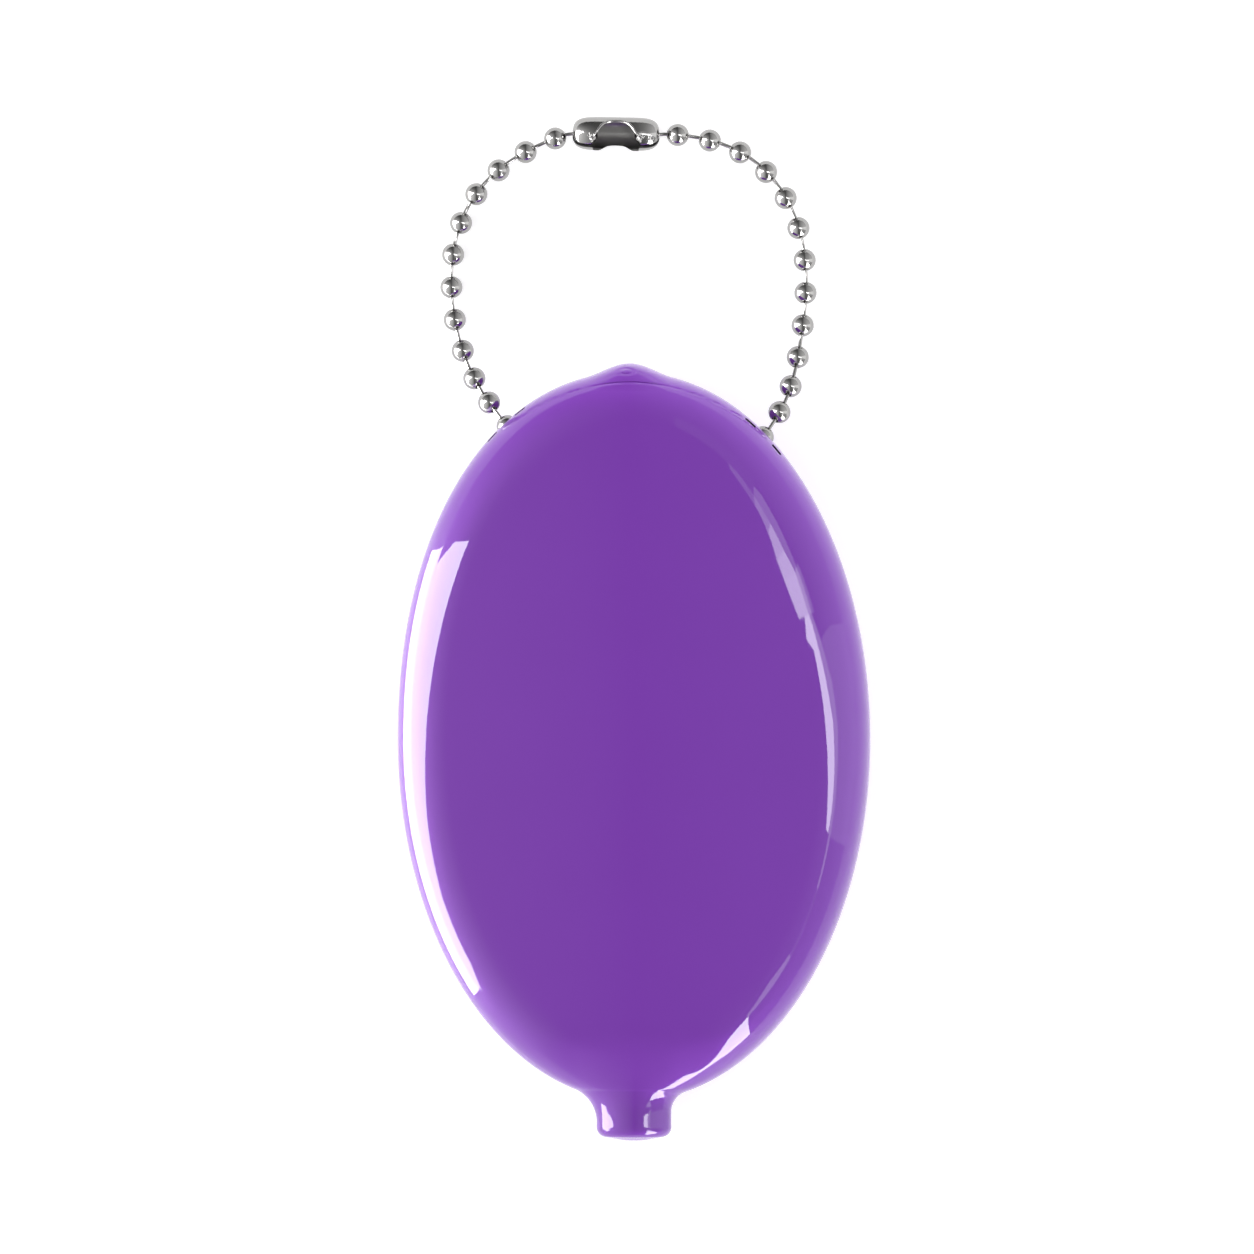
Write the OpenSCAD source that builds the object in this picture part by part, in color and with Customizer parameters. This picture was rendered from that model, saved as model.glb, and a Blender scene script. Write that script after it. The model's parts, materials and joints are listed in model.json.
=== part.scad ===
// Squeeze coin purse with a ball chain. It lies on its slit back with its front face up.
// X runs across the purse, Y along it towards the chain, Z up from the surface it lies on.
// All sizes are in millimetres.

/* [Purse body] */
// Width of the purse at its widest place
body_w = 50.4; // [46:0.2:54]
// Length from the widest place up to the top edge, without the nib
body_up = 39.2; // [36:0.2:43]
// Length from the widest place down to the lower edge, without the stub
body_down = 38.4; // [35:0.2:42]
// Height of the parting edge above the back
edge_z = 6.2; // [5.6:0.1:7]
// Extra height of the front face at its middle
front_crown = 0.8; // [0:0.1:1.6]
// Fullness of the upper outline, where 2 is a plain ellipse
shoulder_fullness = 2.08; // [2:0.02:2.3]
// Width of the rolled rim round the flat face
rim_w = 5.4; // [4.6:0.1:6]
// Fullness of the rolled rim, where 2 is a plain quarter ellipse
rim_fullness = 2.4; // [2:0.1:2.6]
// Thickness of the vinyl
wall = 1.4; // [1.1:0.1:1.7]
// Distance that the top leans to the left
top_lean = 0.5; // [0:0.1:1]

/* [Nib and stub] */
// Height of the nib above the top edge
nib_h = 0.95; // [0.5:0.05:1.5]
// Width of the foot of the nib
nib_w = 9.6; // [8:0.2:12]
// Width of the round stub below the body
stub_w = 8.0; // [7:0.1:9]
// Thickness of the stub from front to back
stub_t = 7.0; // [6:0.1:8]
// Length of the stub beyond the lower edge of the body
stub_l = 4.3; // [3.9:0.1:6]
// Radius of the hollow corner between the body and the stub, on the left
stub_fillet_left = 3.8; // [3:0.1:4]
// Radius of the hollow corner between the body and the stub, on the right
stub_fillet_right = 2.2; // [1.6:0.1:2.8]
// Radius of the rounded end edge of the stub
stub_edge_r = 1.1; // [0.8:0.1:1.2]
// Distance that the middle of the stub's end stands out beyond its rounded edge
stub_crown = 0.4; // [0:0.1:0.6]
// Distance from the lower edge of the body down to where the front starts to rise
neck_foot = 1.5; // [0.5:0.1:2]
// Length along which the front rises from the stub to the full height of the body
neck_l = 10; // [8:0.5:12]
// Half width of the neck, over which the front keeps the height of its middle line
neck_w = 5.5; // [4.5:0.5:6.5]
// Distance beside the neck along which it fades into the rolled rim
neck_fade = 7.5; // [5:0.5:9]

/* [Back opening] */
// Distance from the outline of the purse to the outer edge of the lips
lip_inset = 6.6; // [6.2:0.1:7.4]
// Width of the slit between the two lips
slit_gap = 0.2; // [0.2:0.05:0.6]
// Gap between the lips and the ring that carries them
lip_gap = 0.3; // [0.2:0.05:0.6]

/* [Chain slits] */
// Height of the left slit above the widest place of the body
left_slit_y = 33.8; // [30:0.1:35]
// Height of the right slit above the widest place of the body
right_slit_y = 32.6; // [30:0.1:35]
// Distance from the outline to the centre of the ball in a slit
slit_ball_in = 0.5; // [0.2:0.1:0.8]
// Length of a slit along the edge of the purse
slit_l = 5.2; // [4.4:0.1:6]
// Length of the middle of a slit, which the ball holds open
slit_open_l = 3.8; // [3.4:0.1:4.2]
// Width of the knife cut towards the ends of a slit
slit_cut_w = 0.2; // [0.15:0.05:0.4]
// Gap between the ball and the slit that opens round it
slit_clear = 0.25; // [0.15:0.05:0.4]

/* [Ball chain] */
// Diameter of a ball
ball_d = 2.4; // [2.3:0.05:2.45]
// Distance from one ball to the next
pitch = 3.5; // [3.4:0.05:3.7]
// Thickness of the rolled sheet of a ball
ball_wall = 0.15; // [0.12:0.01:0.16]
// Diameter of the pins between the balls
pin_d = 0.34; // [0.3:0.02:0.38]
// Diameter of the head at each end of a pin
head_d = 0.8; // [0.78:0.01:0.81]
// Diameter of the two holes in a ball
hole_d = 0.72; // [0.7:0.01:0.74]
// Distance from the hole of a ball to the centre of the head inside it
head_depth = 0.66; // [0.64:0.01:0.67]
// Number of balls of the chain that lie inside the purse
inner_count = 8; // [8:1:9]
// Tilt of the stretch of chain inside the purse, out of the level
inner_tilt = 10; // [0:1:14]

/* [Clasp] */
// Length of the clasp
clasp_l = 9.3; // [9.1:0.1:10]
// Outer diameter of the clasp
clasp_d = 3.6; // [3.4:0.05:3.8]
// Thickness of the sheet of the clasp
clasp_wall = 0.22; // [0.18:0.01:0.25]
// Radius of the rounded ends of the clasp
clasp_corner = 1.05; // [0.8:0.05:1.2]
// Gap between an end ball and the end wall of the clasp
clasp_play = 0.12; // [0.08:0.01:0.16]
// Diameter of the hole at each end of the clasp
clasp_hole_d = 0.9; // [0.8:0.05:1.2]
// Width of the slot that a pin slides along to reach its end hole
clasp_slot_w = 0.5; // [0.44:0.02:0.6]
// Tilt of that slot out of the level, from the mouth side up towards the front
clasp_slot_tilt = 40; // [30:5:50]
// Width of the arched window at its foot
window_w = 5.6; // [5:0.1:6.2]
// Width of the arched window at its top
window_top_w = 1.9; // [1.4:0.1:2.4]
// Distance from the middle line of the clasp down to the foot of the window
window_foot_y = 0.55; // [0.3:0.05:0.8]
// Distance from the middle line of the clasp up to the top of the window
window_top_y = 1.33; // [1.1:0.01:1.4]
// Width of the mouth in the lower edge
mouth_w = 3.7; // [3.2:0.1:4.2]
// Width of the mouth at its top
mouth_top_w = 2.2; // [1.8:0.1:2.6]
// Depth of the mouth
mouth_depth = 0.58; // [0.4:0.02:0.8]

/* [Hidden] */
// Numbers of the last outer ball on each side, where ball 0 lies in its slit
LEFT_LAST = 11;
RIGHT_LAST = 12;

function two(n) = n < 10 ? str("0", n) : str(n);

vinyl = [0.45, 0.2, 0.64];
steel = [0.62, 0.62, 0.64];
nickel = [0.7, 0.7, 0.72];

// A small amount that keeps divisions away from zero
EASE = 0.01;

// Headings of the balls in the plane, in degrees from the X axis. The chain leaves the left
// slit up and to the left, bows outward and comes back over the top to the clasp.
LEFT_TURNS = [133, 128, 120, 111, 103, 94, 85, 72, 57, 42, 31, 23, 0];
// The same for the right side, which bows the other way and has one ball more.
RIGHT_TURNS = [50, 58, 70, 77, 80, 85, 93, 104, 117, 132, 149, 163, 173, 180];
// Share of the full slope that each ball has as the chain comes down from its slit.
SLOPE_SHARES = [0.45, 1, 0.95, 0.5, 0.12];

// General helpers

function smooth(t) = let (c = min(max(t, 0), 1)) c * c * (3 - 2 * c);

function unit(v) = v / norm(v);

function mix(a, b, t) = a + (b - a) * t;

function direction(turn, climb) = [cos(climb) * cos(turn), cos(climb) * sin(turn), sin(climb)];

// The larger of two values, rounded where they are within k of each other
function smooth_max(a, b, k) = let (h = max(k - abs(a - b), 0) / k) max(a, b) + h * h * k / 4;

// Where a rising function f passes through zero, by halving the span
function root(f, low, high, steps = 40) =
    let (middle = (low + high) / 2)
    steps < 1 ? middle
    : f(middle) > 0 ? root(f, low, middle, steps - 1)
    : root(f, middle, high, steps - 1);

function total(v, i = 0) = i == len(v) ? 0 : v[i] + total(v, i + 1);

// Running positions from a start point along a list of steps
function walk(p, steps, i = 0) =
    i == len(steps) ? [p] : concat([p], walk(p + steps[i], steps, i + 1));

// Outline of the purse, seen from the front, with its centre at the widest place

function reach_at(y, inset) = (y > 0 ? body_up : body_down) - inset;

function fullness_at(y) = y > 0 ? shoulder_fullness : 2;

function half_width(y, inset = 0) =
    let (n = fullness_at(y), v = min(abs(y) / reach_at(y, inset), 1))
    (body_w / 2 - inset) * pow(max(1 - pow(v, n), 0), 1 / n);

// Slope of the outward normal at height y, as an angle from the X axis
function normal_angle(y) =
    let (n = fullness_at(y), u = half_width(y) / (body_w / 2), v = abs(y) / reach_at(y, 0))
    atan2(sign(y) * pow(v, n - 1) / reach_at(y, 0), pow(u, n - 1) / (body_w / 2));

// Size of the scaled outline that passes through a point: 0 at the centre, 1 at the edge
function share_out(x, y, inset) =
    let (n = fullness_at(y), u = abs(x) / (body_w / 2 - inset), v = abs(y) / reach_at(y, inset))
    pow(pow(u, n) + pow(v, n), 1 / n);

// Distance of a point from the outline, inward
function depth_in(x, y, inset) =
    let (
        n = fullness_at(y),
        u = abs(x) / (body_w / 2 - inset),
        v = abs(y) / reach_at(y, inset),
        f = max(share_out(x, y, inset), EASE),
        slope = norm([pow(u, n - 1) / (body_w / 2 - inset), pow(v, n - 1) / reach_at(y, inset)])
    )
    max(1 - f, 0) / max(slope * pow(f, 1 - n), EASE);

// Height of the rolled rim as a share of its full height, at a distance from the outline
function rim_share(d, inset) =
    let (t = min(d / (rim_w - inset), 1))
    pow(max(1 - pow(1 - t, rim_fullness), 0), 1 / rim_fullness);

function lean(y) = -top_lean * smooth(y / body_up);

// Stub below the body: the outline runs into it along a hollow corner

function body_slope(w) =
    let (y = body_down * sqrt(1 - pow(2 * w / body_w, 2)))
    atan2(w * body_down * body_down, y * body_w * body_w / 4);

// Half width at which a hollow corner leaves the body, found by repeating the estimate
function corner_start(w, r, tries) =
    tries < 1 ? w : corner_start(stub_w / 2 + r * (1 - sin(body_slope(w))), r, tries - 1);

CORNER_TRIES = 12;

// A hollow corner: [radius, slope where it leaves the body, height there, height of its centre]
function corner_of(r) =
    let (
        w = corner_start(stub_w / 2 + r / 2, r, CORNER_TRIES),
        slope = body_slope(w),
        y = -body_down * sqrt(1 - pow(2 * w / body_w, 2))
    )
    [r, slope, y, y - r * cos(slope)];

left_corner = corner_of(stub_fillet_left);
right_corner = corner_of(stub_fillet_right);
neck_top = left_corner[2] > right_corner[2] ? left_corner : right_corner;

// Half width of the neck at height y, on the side that has this corner
function neck_side(y, corner) =
    y >= corner[2] ? half_width(y)
    : y > corner[3] ? stub_w / 2 + corner[0] - sqrt(pow(corner[0], 2) - pow(y - corner[3], 2))
    : stub_w / 2;

stub_end_y = -body_down - stub_l;
// Span over which the rim runs out into the stub at the rear, so that the flat back stays flat
stub_blend = edge_z - stub_t / 2;

// Half thickness on the middle line, where the rolled rim runs out into the stub at the rear
function centre_half(y) = edge_z * rim_share(depth_in(0, y, 0), 0);

function stub_half(y) = smooth_max(y > -body_down ? centre_half(y) : 0, stub_t / 2, stub_blend);

// The front rises along the neck in one long easy curve
function neck_half(y) = mix(stub_t / 2, edge_z, smooth((y + body_down + neck_foot) / neck_l));

// What the height of the rolled rim is multiplied by, so that the front follows the neck
function neck_scale(x, y) =
    y > 0 ? 1
    : mix(neck_half(y) / max(centre_half(y), EASE), 1, smooth((abs(x) - neck_w) / neck_fade));

// Cross-sections of the purse, each at one height: [half width, height, height on the plain body]

// Angles between neighbouring cross-sections of the outside, of the hollow and of the flat back
RING_STEP = 5;
HOLLOW_STEP = 7.5;
BACK_STEP = 5;

function body_ring(angle, inset) =
    let (n = fullness_at(angle), b = reach_at(angle, inset))
    [
        (body_w / 2 - inset) * pow(cos(angle), 2 / n),
        sign(angle) * b * pow(sin(abs(angle)), 2 / n)
    ];

function body_rings(inset, low, step) =
    [for (angle = [low : step : 90 - step / 2]) body_ring(angle, inset)];

function nib_lift(w) = nib_h * pow(cos(min(w / (nib_w / 2), 1) * 90), 2);

// Quarter of a cross-section: shares of the half width, from the edge to the middle
EDGE_STEPS = 6;
FACE_STEPS = 3;
HOLLOW_EDGE_STEPS = 4;
HOLLOW_FACE_STEPS = 2;
// Most of the half width that the rolled rim may take near the ends of the purse
ROLLED_MOST = 0.85;

function width_shares(w, edge_steps, face_steps) =
    let (rolled = min(rim_w, ROLLED_MOST * w) / w)
    concat(
        [for (i = [0 : edge_steps]) 1 - rolled * (1 - cos(90 * i / edge_steps))],
        [for (i = [1 : face_steps]) (1 - rolled) * (1 - i / face_steps)]
    );

function both_sides(shares) =
    let (n = len(shares))
    concat(shares, [for (i = [n - 2 : -1 : 0]) -shares[i]]);

// Closed loop of points: across the front from right to left, and back across the rear
function loop_of(front, rear) =
    let (n = len(front))
    concat(front, [for (i = [n - 2 : -1 : 1]) rear[i]]);

function body_loop(ring, inset, edge_steps, face_steps) =
    let (
        w = ring[0],
        y = ring[1],
        swell = inset == 0 && y < 0 ? stub_half(y) / max(centre_half(y), EASE) : 1,
        top_y = y + (inset == 0 && y > 0 ? nib_lift(w) : 0),
        across = both_sides(width_shares(w, edge_steps, face_steps)),
        rise = [for (s = across) rim_share(depth_in(s * w, y, inset), inset)],
        crown = [for (s = across) front_crown * (1 - pow(share_out(s * w, y, inset), 2))],
        half = [for (s = across) inset == 0 ? edge_z * neck_scale(s * w, y) : edge_z - inset],
        front = [for (i = [0 : len(across) - 1])
            [across[i] * w + lean(y), top_y, edge_z + rise[i] * (half[i] + crown[i])]],
        rear = [for (i = [0 : len(across) - 1])
            [across[i] * w + lean(y), top_y, edge_z - rise[i] * (edge_z - inset) * swell]]
    )
    loop_of(front, rear);

// The stub is a round bar: hollow corners, straight side, rounded end edge and domed end.
// Each of its sections is [height, distance inside the bar, share of the full section].
STUB_CORNER_STEPS = 8;
STUB_EDGE_STEPS = 4;
DOME_SHARE = 0.55;

function stub_rings() = concat(
    [[stub_end_y + stub_crown * pow(DOME_SHARE, 2), stub_edge_r, DOME_SHARE]],
    [for (i = [STUB_EDGE_STEPS : -1 : 0])
        let (a = 90 * i / STUB_EDGE_STEPS)
        [stub_end_y + stub_crown + stub_edge_r * (1 - sin(a)), stub_edge_r * (1 - cos(a)), 1]],
    [for (i = [0 : STUB_CORNER_STEPS - 1])
        let (a = mix(90, neck_top[1], i / STUB_CORNER_STEPS))
        [neck_top[3] + neck_top[0] * cos(a), 0, 1]]
);

function stub_loop(ring) =
    let (
        y = ring[0],
        shares = both_sides(width_shares(stub_w / 2, EDGE_STEPS, FACE_STEPS)),
        across = [for (s = shares)
            ring[2] * s * (neck_side(y, s < 0 ? left_corner : right_corner) - ring[1])],
        rise = [for (s = shares) ring[2] * pow(1 - s * s, 1 / rim_fullness)],
        front = [for (i = [0 : len(shares) - 1])
            [across[i], y, edge_z + rise[i] * (neck_half(y) - ring[1])]],
        rear = [for (i = [0 : len(shares) - 1])
            [across[i], y, edge_z - rise[i] * (stub_half(y) - ring[1])]]
    )
    loop_of(front, rear);

// Closed surface through a stack of loops, from a low point to a high point
module skin(loops, low, high) {
    n = len(loops[0]);
    m = len(loops);
    points = concat([low], [for (l = loops) each l], [high]);
    polyhedron(points, concat(
        [for (i = [0 : n - 1]) [0, 1 + (i + 1) % n, 1 + i]],
        [for (j = [0 : m - 2], i = [0 : n - 1]) each
            let (a = 1 + j * n + i, b = 1 + j * n + (i + 1) % n)
            [[a, b, a + n], [b, b + n, a + n]]],
        [for (i = [0 : n - 1]) [1 + (m - 1) * n + i, 1 + (m - 1) * n + (i + 1) % n, m * n + 1]]
    ));
}

// The body starts where the higher corner leaves it, and its steps divide the rest evenly
neck_angle = asin(neck_top[2] / body_down);
body_span = 90 - neck_angle;
body_step = body_span / round(body_span / RING_STEP);

module outer_form() {
    skin(
        concat(
            [for (r = stub_rings()) stub_loop(r)],
            [for (r = body_rings(0, neck_angle, body_step)) body_loop(r, 0, EDGE_STEPS, FACE_STEPS)]
        ),
        [0, stub_end_y, edge_z],
        [lean(body_up), body_up + nib_h, edge_z]
    );
}

module hollow_form() {
    skin(
        [for (r = body_rings(wall, -90 + HOLLOW_STEP, HOLLOW_STEP))
            body_loop(r, wall, HOLLOW_EDGE_STEPS, HOLLOW_FACE_STEPS)],
        [0, -body_down + wall, edge_z],
        [lean(body_up), body_up - wall, edge_z]
    );
}

// Flat shape inside the outline, with curved sides like the purse itself
module inner_outline(inset) {
    polygon([for (angle = [-180 : BACK_STEP : 180 - BACK_STEP])
        let (
            side = abs(angle) > 90 ? -1 : 1,
            quarter = abs(angle) > 90 ? sign(angle) * (180 - abs(angle)) : angle,
            ring = body_ring(quarter, inset)
        )
        [side * ring[0] + lean(ring[1]), ring[1]]]);
}

// Places on the outline where the chain passes through the wall

function slit_point(side, y) =
    let (a = normal_angle(y))
    [side * (half_width(y) - slit_ball_in * cos(a)) + lean(y), y - slit_ball_in * sin(a), edge_z];

left_slit = slit_point(-1, left_slit_y);
right_slit = slit_point(1, right_slit_y);

// Knife cut along the parting edge, and the lens-shaped mouth that the ball in it holds open
module slit_cut(place, outward) {
    half_h = ball_d / 2 + slit_clear;
    lens_r = (slit_open_l * slit_open_l / 4 + half_h * half_h) / (2 * half_h);
    translate(place) rotate([0, 0, outward]) rotate([90, 0, 90])
        translate([0, 0, -2 * wall - slit_ball_in]) linear_extrude(4 * wall) {
            square([slit_l, slit_cut_w], center = true);
            intersection_for(up = [-1, 1]) translate([0, up * (lens_r - half_h)])
                circle(lens_r, $fn = 64);
        }
}

// Chain: balls and pins in turn. A ball reaches from hole to hole, a pin from hole to hole.

hole_reach = ball_d / 2 - ball_wall / 2;
pin_span = pitch - 2 * hole_reach;
ball_r = ball_d / 2;
clasp_r = clasp_d / 2;
end_ball_x = clasp_l / 2 - clasp_wall - clasp_play - ball_r;

function pin_direction(turns, climbs, k) =
    direction((turns[k] + turns[k + 1]) / 2, (climbs[k] + climbs[k + 1]) / 2);

function chain_steps(turns, climbs) =
    [for (k = [0 : len(turns) - 2])
        hole_reach * (direction(turns[k], climbs[k]) + direction(turns[k + 1], climbs[k + 1]))
        + pin_span * pin_direction(turns, climbs, k)];

function chain_centres(start, turns, climbs) = walk(start, chain_steps(turns, climbs));

// The chain comes down from its slit to the surface, and rises into the clasp at its end
function climbs_of(n, slope, rise) =
    [for (k = [0 : n - 1])
        k < len(SLOPE_SHARES) ? -slope * SLOPE_SHARES[k] : k == n - 2 ? rise : 0];

function climb_total(slope, rise) =
    total([for (s = chain_steps([for (k = [0 : LEFT_LAST + 1]) 0],
                                climbs_of(LEFT_LAST + 2, slope, rise))) s[2]]);

slope = root(function (s) climb_total(s, 0) < ball_r - edge_z ? 1 : -1, 0, 60);
rise = root(function (r) climb_total(slope, r) - (clasp_r - edge_z), 0, 40);

left_climbs = climbs_of(LEFT_LAST + 2, slope, rise);
right_climbs = climbs_of(RIGHT_LAST + 2, slope, rise);

// Both sides turn by the same small angle, so that the end balls fit the clasp
function left_turns(bow) = [for (t = LEFT_TURNS) t + bow];
function right_turns(bow) = [for (t = RIGHT_TURNS) t - bow];
function left_end(bow) =
    let (c = chain_centres(left_slit, left_turns(bow), left_climbs)) c[len(c) - 1];
function right_end(bow) =
    let (c = chain_centres(right_slit, right_turns(bow), right_climbs)) c[len(c) - 1];

bow = root(function (b) (right_end(b) - left_end(b))[0] - 2 * end_ball_x, -30, 30);

left_balls = chain_centres(left_slit, left_turns(bow), left_climbs);
right_balls = chain_centres(right_slit, right_turns(bow), right_climbs);

clasp_start = left_balls[LEFT_LAST + 1];
clasp_finish = right_balls[RIGHT_LAST + 1];
clasp_middle = (clasp_start + clasp_finish) / 2;
clasp_turn = atan2(clasp_finish[1] - clasp_start[1], clasp_finish[0] - clasp_start[0]);

// Direction of the hole-to-hole line of each ball
function ball_line(turns, climbs, k) = direction(turns[k], climbs[k]);

function last_in_line(turns, end_turn) =
    [for (k = [0 : len(turns) - 1]) k == len(turns) - 1 ? end_turn : turns[k]];

left_lines = last_in_line(left_turns(bow), clasp_turn);
right_lines = last_in_line(right_turns(bow), clasp_turn + 180);

// Stretch of chain inside the purse: a shallow garland from one slit to the other

inner_start = left_slit - hole_reach * ball_line(left_lines, left_climbs, 0);
inner_finish = right_slit - hole_reach * ball_line(right_lines, right_climbs, 0);
inner_chord = inner_finish - inner_start;
inner_pieces = 2 * inner_count + 1;

function inner_length(i) = i % 2 == 0 ? pin_span : 2 * hole_reach;

// Length along the chord when each piece turns by the same angle from the one before it
function inner_reach(turn) =
    total([for (i = [0 : inner_pieces - 1]) inner_length(i) * cos(turn * (i - inner_count))]);

inner_turn = root(function (t) norm(inner_chord) - inner_reach(t), 0, 180 / inner_pieces);

// Directions in the plane of the garland, which hangs down from the level by inner_tilt
inner_along = unit(inner_chord);
inner_level = unit(cross([0, 0, 1], inner_along));
inner_across = cos(inner_tilt) * inner_level + sin(inner_tilt) * cross(inner_along, inner_level);

function inner_line(i) =
    let (a = inner_turn * (i - inner_count)) cos(a) * inner_along + sin(a) * inner_across;

inner_joints = walk(inner_start, [for (i = [0 : inner_pieces - 1]) inner_length(i) * inner_line(i)]);

// The origin lies under the middle of the whole part
top_y = clasp_middle[1] + clasp_r;
place = [0, -(top_y + stub_end_y) / 2, 0];

// Shapes of the chain

module along(line) {
    rotate([0, acos(line[2]), atan2(line[1], line[0])]) children();
}

module ball(centre, line) {
    color(steel) translate(centre) along(line) difference() {
        sphere(ball_r, $fn = 48);
        sphere(ball_r - ball_wall, $fn = 48);
        cylinder(2 * ball_d, d = hole_d, center = true, $fn = 24);
    }
}

// Pin from the hole at a to the hole at b, with a round head inside each ball
module pin(a, b) {
    line = unit(b - a);
    color(nickel) translate(a) along(line) {
        translate([0, 0, -head_depth]) cylinder(norm(b - a) + 2 * head_depth, d = pin_d, $fn = 24);
        translate([0, 0, -head_depth]) sphere(d = head_d, $fn = 32);
        translate([0, 0, norm(b - a) + head_depth]) sphere(d = head_d, $fn = 32);
    }
}

module side_ball(balls, lines, climbs, k) {
    ball(balls[k], ball_line(lines, climbs, k));
}

module side_pin(balls, lines, climbs, k) {
    pin(
        balls[k] + hole_reach * ball_line(lines, climbs, k),
        balls[k + 1] - hole_reach * ball_line(lines, climbs, k + 1)
    );
}

module inner_balls() {
    for (i = [1 : 2 : inner_pieces - 2])
        ball((inner_joints[i] + inner_joints[i + 1]) / 2, inner_line(i));
}

module inner_pins() {
    for (i = [0 : 2 : inner_pieces - 1]) pin(inner_joints[i], inner_joints[i + 1]);
}

// Purse

module purse_shell() {
    color(vinyl) difference() {
        outer_form();
        hollow_form();
        translate([0, 0, -wall]) linear_extrude(2 * wall + lip_gap) inner_outline(lip_inset - lip_gap);
        slit_cut(left_slit, 180 - normal_angle(left_slit_y));
        slit_cut(right_slit, normal_angle(right_slit_y));
    }
}

// One half of the back, from its living hinge at the rim to the slit
module lip(side) {
    color(vinyl) linear_extrude(wall) intersection() {
        inner_outline(lip_inset);
        translate([side > 0 ? slit_gap / 2 : -body_w - slit_gap / 2, -body_down])
            square([body_w, body_down + body_up]);
    }
}

// Clasp: a rolled sheet tube with closed round ends, open along one side

module tube_form(length, r, corner) {
    rotate([0, 90, 0]) rotate_extrude($fn = 64) {
        translate([0, -length / 2]) square([r - corner, length]);
        translate([0, -length / 2 + corner]) square([r, length - 2 * corner]);
        for (end = [-1, 1]) translate([r - corner, end * (length / 2 - corner)])
            intersection() {
                circle(corner, $fn = 48);
                translate([0, end > 0 ? 0 : -corner]) square(corner);
            }
    }
}

ARCH_STEPS = 10;

// One side of an arch, from its foot up to its top
function arch_side(foot_w, top_w, foot_y, arch_y) =
    [for (i = [0 : ARCH_STEPS])
        let (t = i / ARCH_STEPS) [mix(foot_w, top_w, t) / 2, mix(foot_y, arch_y, smooth(t))]];

function mirrored(points) =
    [for (i = [len(points) - 1 : -1 : 0]) [-points[i][0], points[i][1]]];

// Arch that opens downward, past the lower edge of the clasp
module arch(foot_w, top_w, foot_y, arch_y, mouth_w) {
    side = concat([[mouth_w / 2, -clasp_d]], arch_side(foot_w, top_w, foot_y, arch_y));
    polygon(concat(side, mirrored(side)));
}

module clasp() {
    color(nickel) translate(clasp_middle) rotate([0, 0, clasp_turn]) difference() {
        tube_form(clasp_l, clasp_r, clasp_corner);
        tube_form(clasp_l - 2 * clasp_wall, clasp_r - clasp_wall, clasp_corner - clasp_wall);
        linear_extrude(clasp_d) arch(window_w, window_top_w, -window_foot_y, window_top_y, mouth_w);
        translate([0, 0, -clasp_d]) linear_extrude(2 * clasp_d)
            arch(mouth_w, mouth_top_w, -clasp_r, mouth_depth - clasp_r, mouth_w);
        rotate([0, 90, 0]) cylinder(2 * clasp_l, d = clasp_hole_d, center = true, $fn = 32);
        rotate([-clasp_slot_tilt, 0, 0]) translate([0, -clasp_r, 0])
            cube([2 * clasp_l, clasp_d, clasp_slot_w], center = true);
    }
}

translate(place) {
    purse_shell();
    lip(-1);  // left_lip
    lip(1);  // right_lip
    inner_balls();
    inner_pins();
    for (k = [0 : LEFT_LAST])
        side_ball(left_balls, left_lines, left_climbs, k);
    for (k = [0 : LEFT_LAST - 1])
        side_pin(left_balls, left_lines, left_climbs, k);
    side_pin(left_balls, left_lines, left_climbs, LEFT_LAST);  // left_end_pin
    side_ball(left_balls, left_lines, left_climbs, LEFT_LAST + 1);  // left_end_ball
    for (k = [0 : RIGHT_LAST])
        side_ball(right_balls, right_lines, right_climbs, k);
    for (k = [0 : RIGHT_LAST - 1])
        side_pin(right_balls, right_lines, right_climbs, k);
    side_pin(right_balls, right_lines, right_climbs, RIGHT_LAST);  // right_end_pin
    side_ball(right_balls, right_lines, right_climbs, RIGHT_LAST + 1);  // right_end_ball
    clasp();
}
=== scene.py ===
# %% [markdown]
# # A squeeze coin purse with a ball chain
#
# The object is an oval purse of soft glossy vinyl that lies on its slit back, with a loop of
# hollow steel balls through two small slits at its top, closed by a rolled sheet clasp.
# The purse body could be sculpted by hand, but its gloss shows every uneven place. So each of
# its surfaces is worked out from a few sizes, in the same way as the solids that it covers.
#
# The frame holds the part's own solids, each on the body that it moves with. Every piece made
# here takes the place of a solid there, and all but the two back halves ride on that solid's body.

# %% Load the frame
import json
import math

import bmesh
import bpy
import numpy as np
from mathutils import Matrix, Vector


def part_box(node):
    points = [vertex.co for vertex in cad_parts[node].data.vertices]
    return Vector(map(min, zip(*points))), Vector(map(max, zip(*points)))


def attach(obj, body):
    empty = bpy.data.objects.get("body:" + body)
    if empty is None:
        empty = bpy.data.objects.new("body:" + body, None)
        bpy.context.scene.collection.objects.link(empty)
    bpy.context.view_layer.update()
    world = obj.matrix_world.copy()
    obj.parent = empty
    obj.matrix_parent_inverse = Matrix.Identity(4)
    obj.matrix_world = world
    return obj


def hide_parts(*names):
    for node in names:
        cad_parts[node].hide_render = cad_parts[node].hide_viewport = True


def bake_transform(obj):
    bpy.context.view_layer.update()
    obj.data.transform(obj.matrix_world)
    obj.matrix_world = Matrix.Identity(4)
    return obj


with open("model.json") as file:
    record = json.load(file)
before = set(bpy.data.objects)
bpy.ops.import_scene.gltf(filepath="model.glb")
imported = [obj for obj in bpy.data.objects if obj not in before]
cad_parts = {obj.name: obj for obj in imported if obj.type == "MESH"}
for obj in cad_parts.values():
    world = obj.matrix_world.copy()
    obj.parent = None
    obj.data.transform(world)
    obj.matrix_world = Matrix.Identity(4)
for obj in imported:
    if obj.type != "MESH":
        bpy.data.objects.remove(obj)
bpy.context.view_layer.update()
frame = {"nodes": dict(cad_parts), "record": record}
scene = bpy.context.scene
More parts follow.
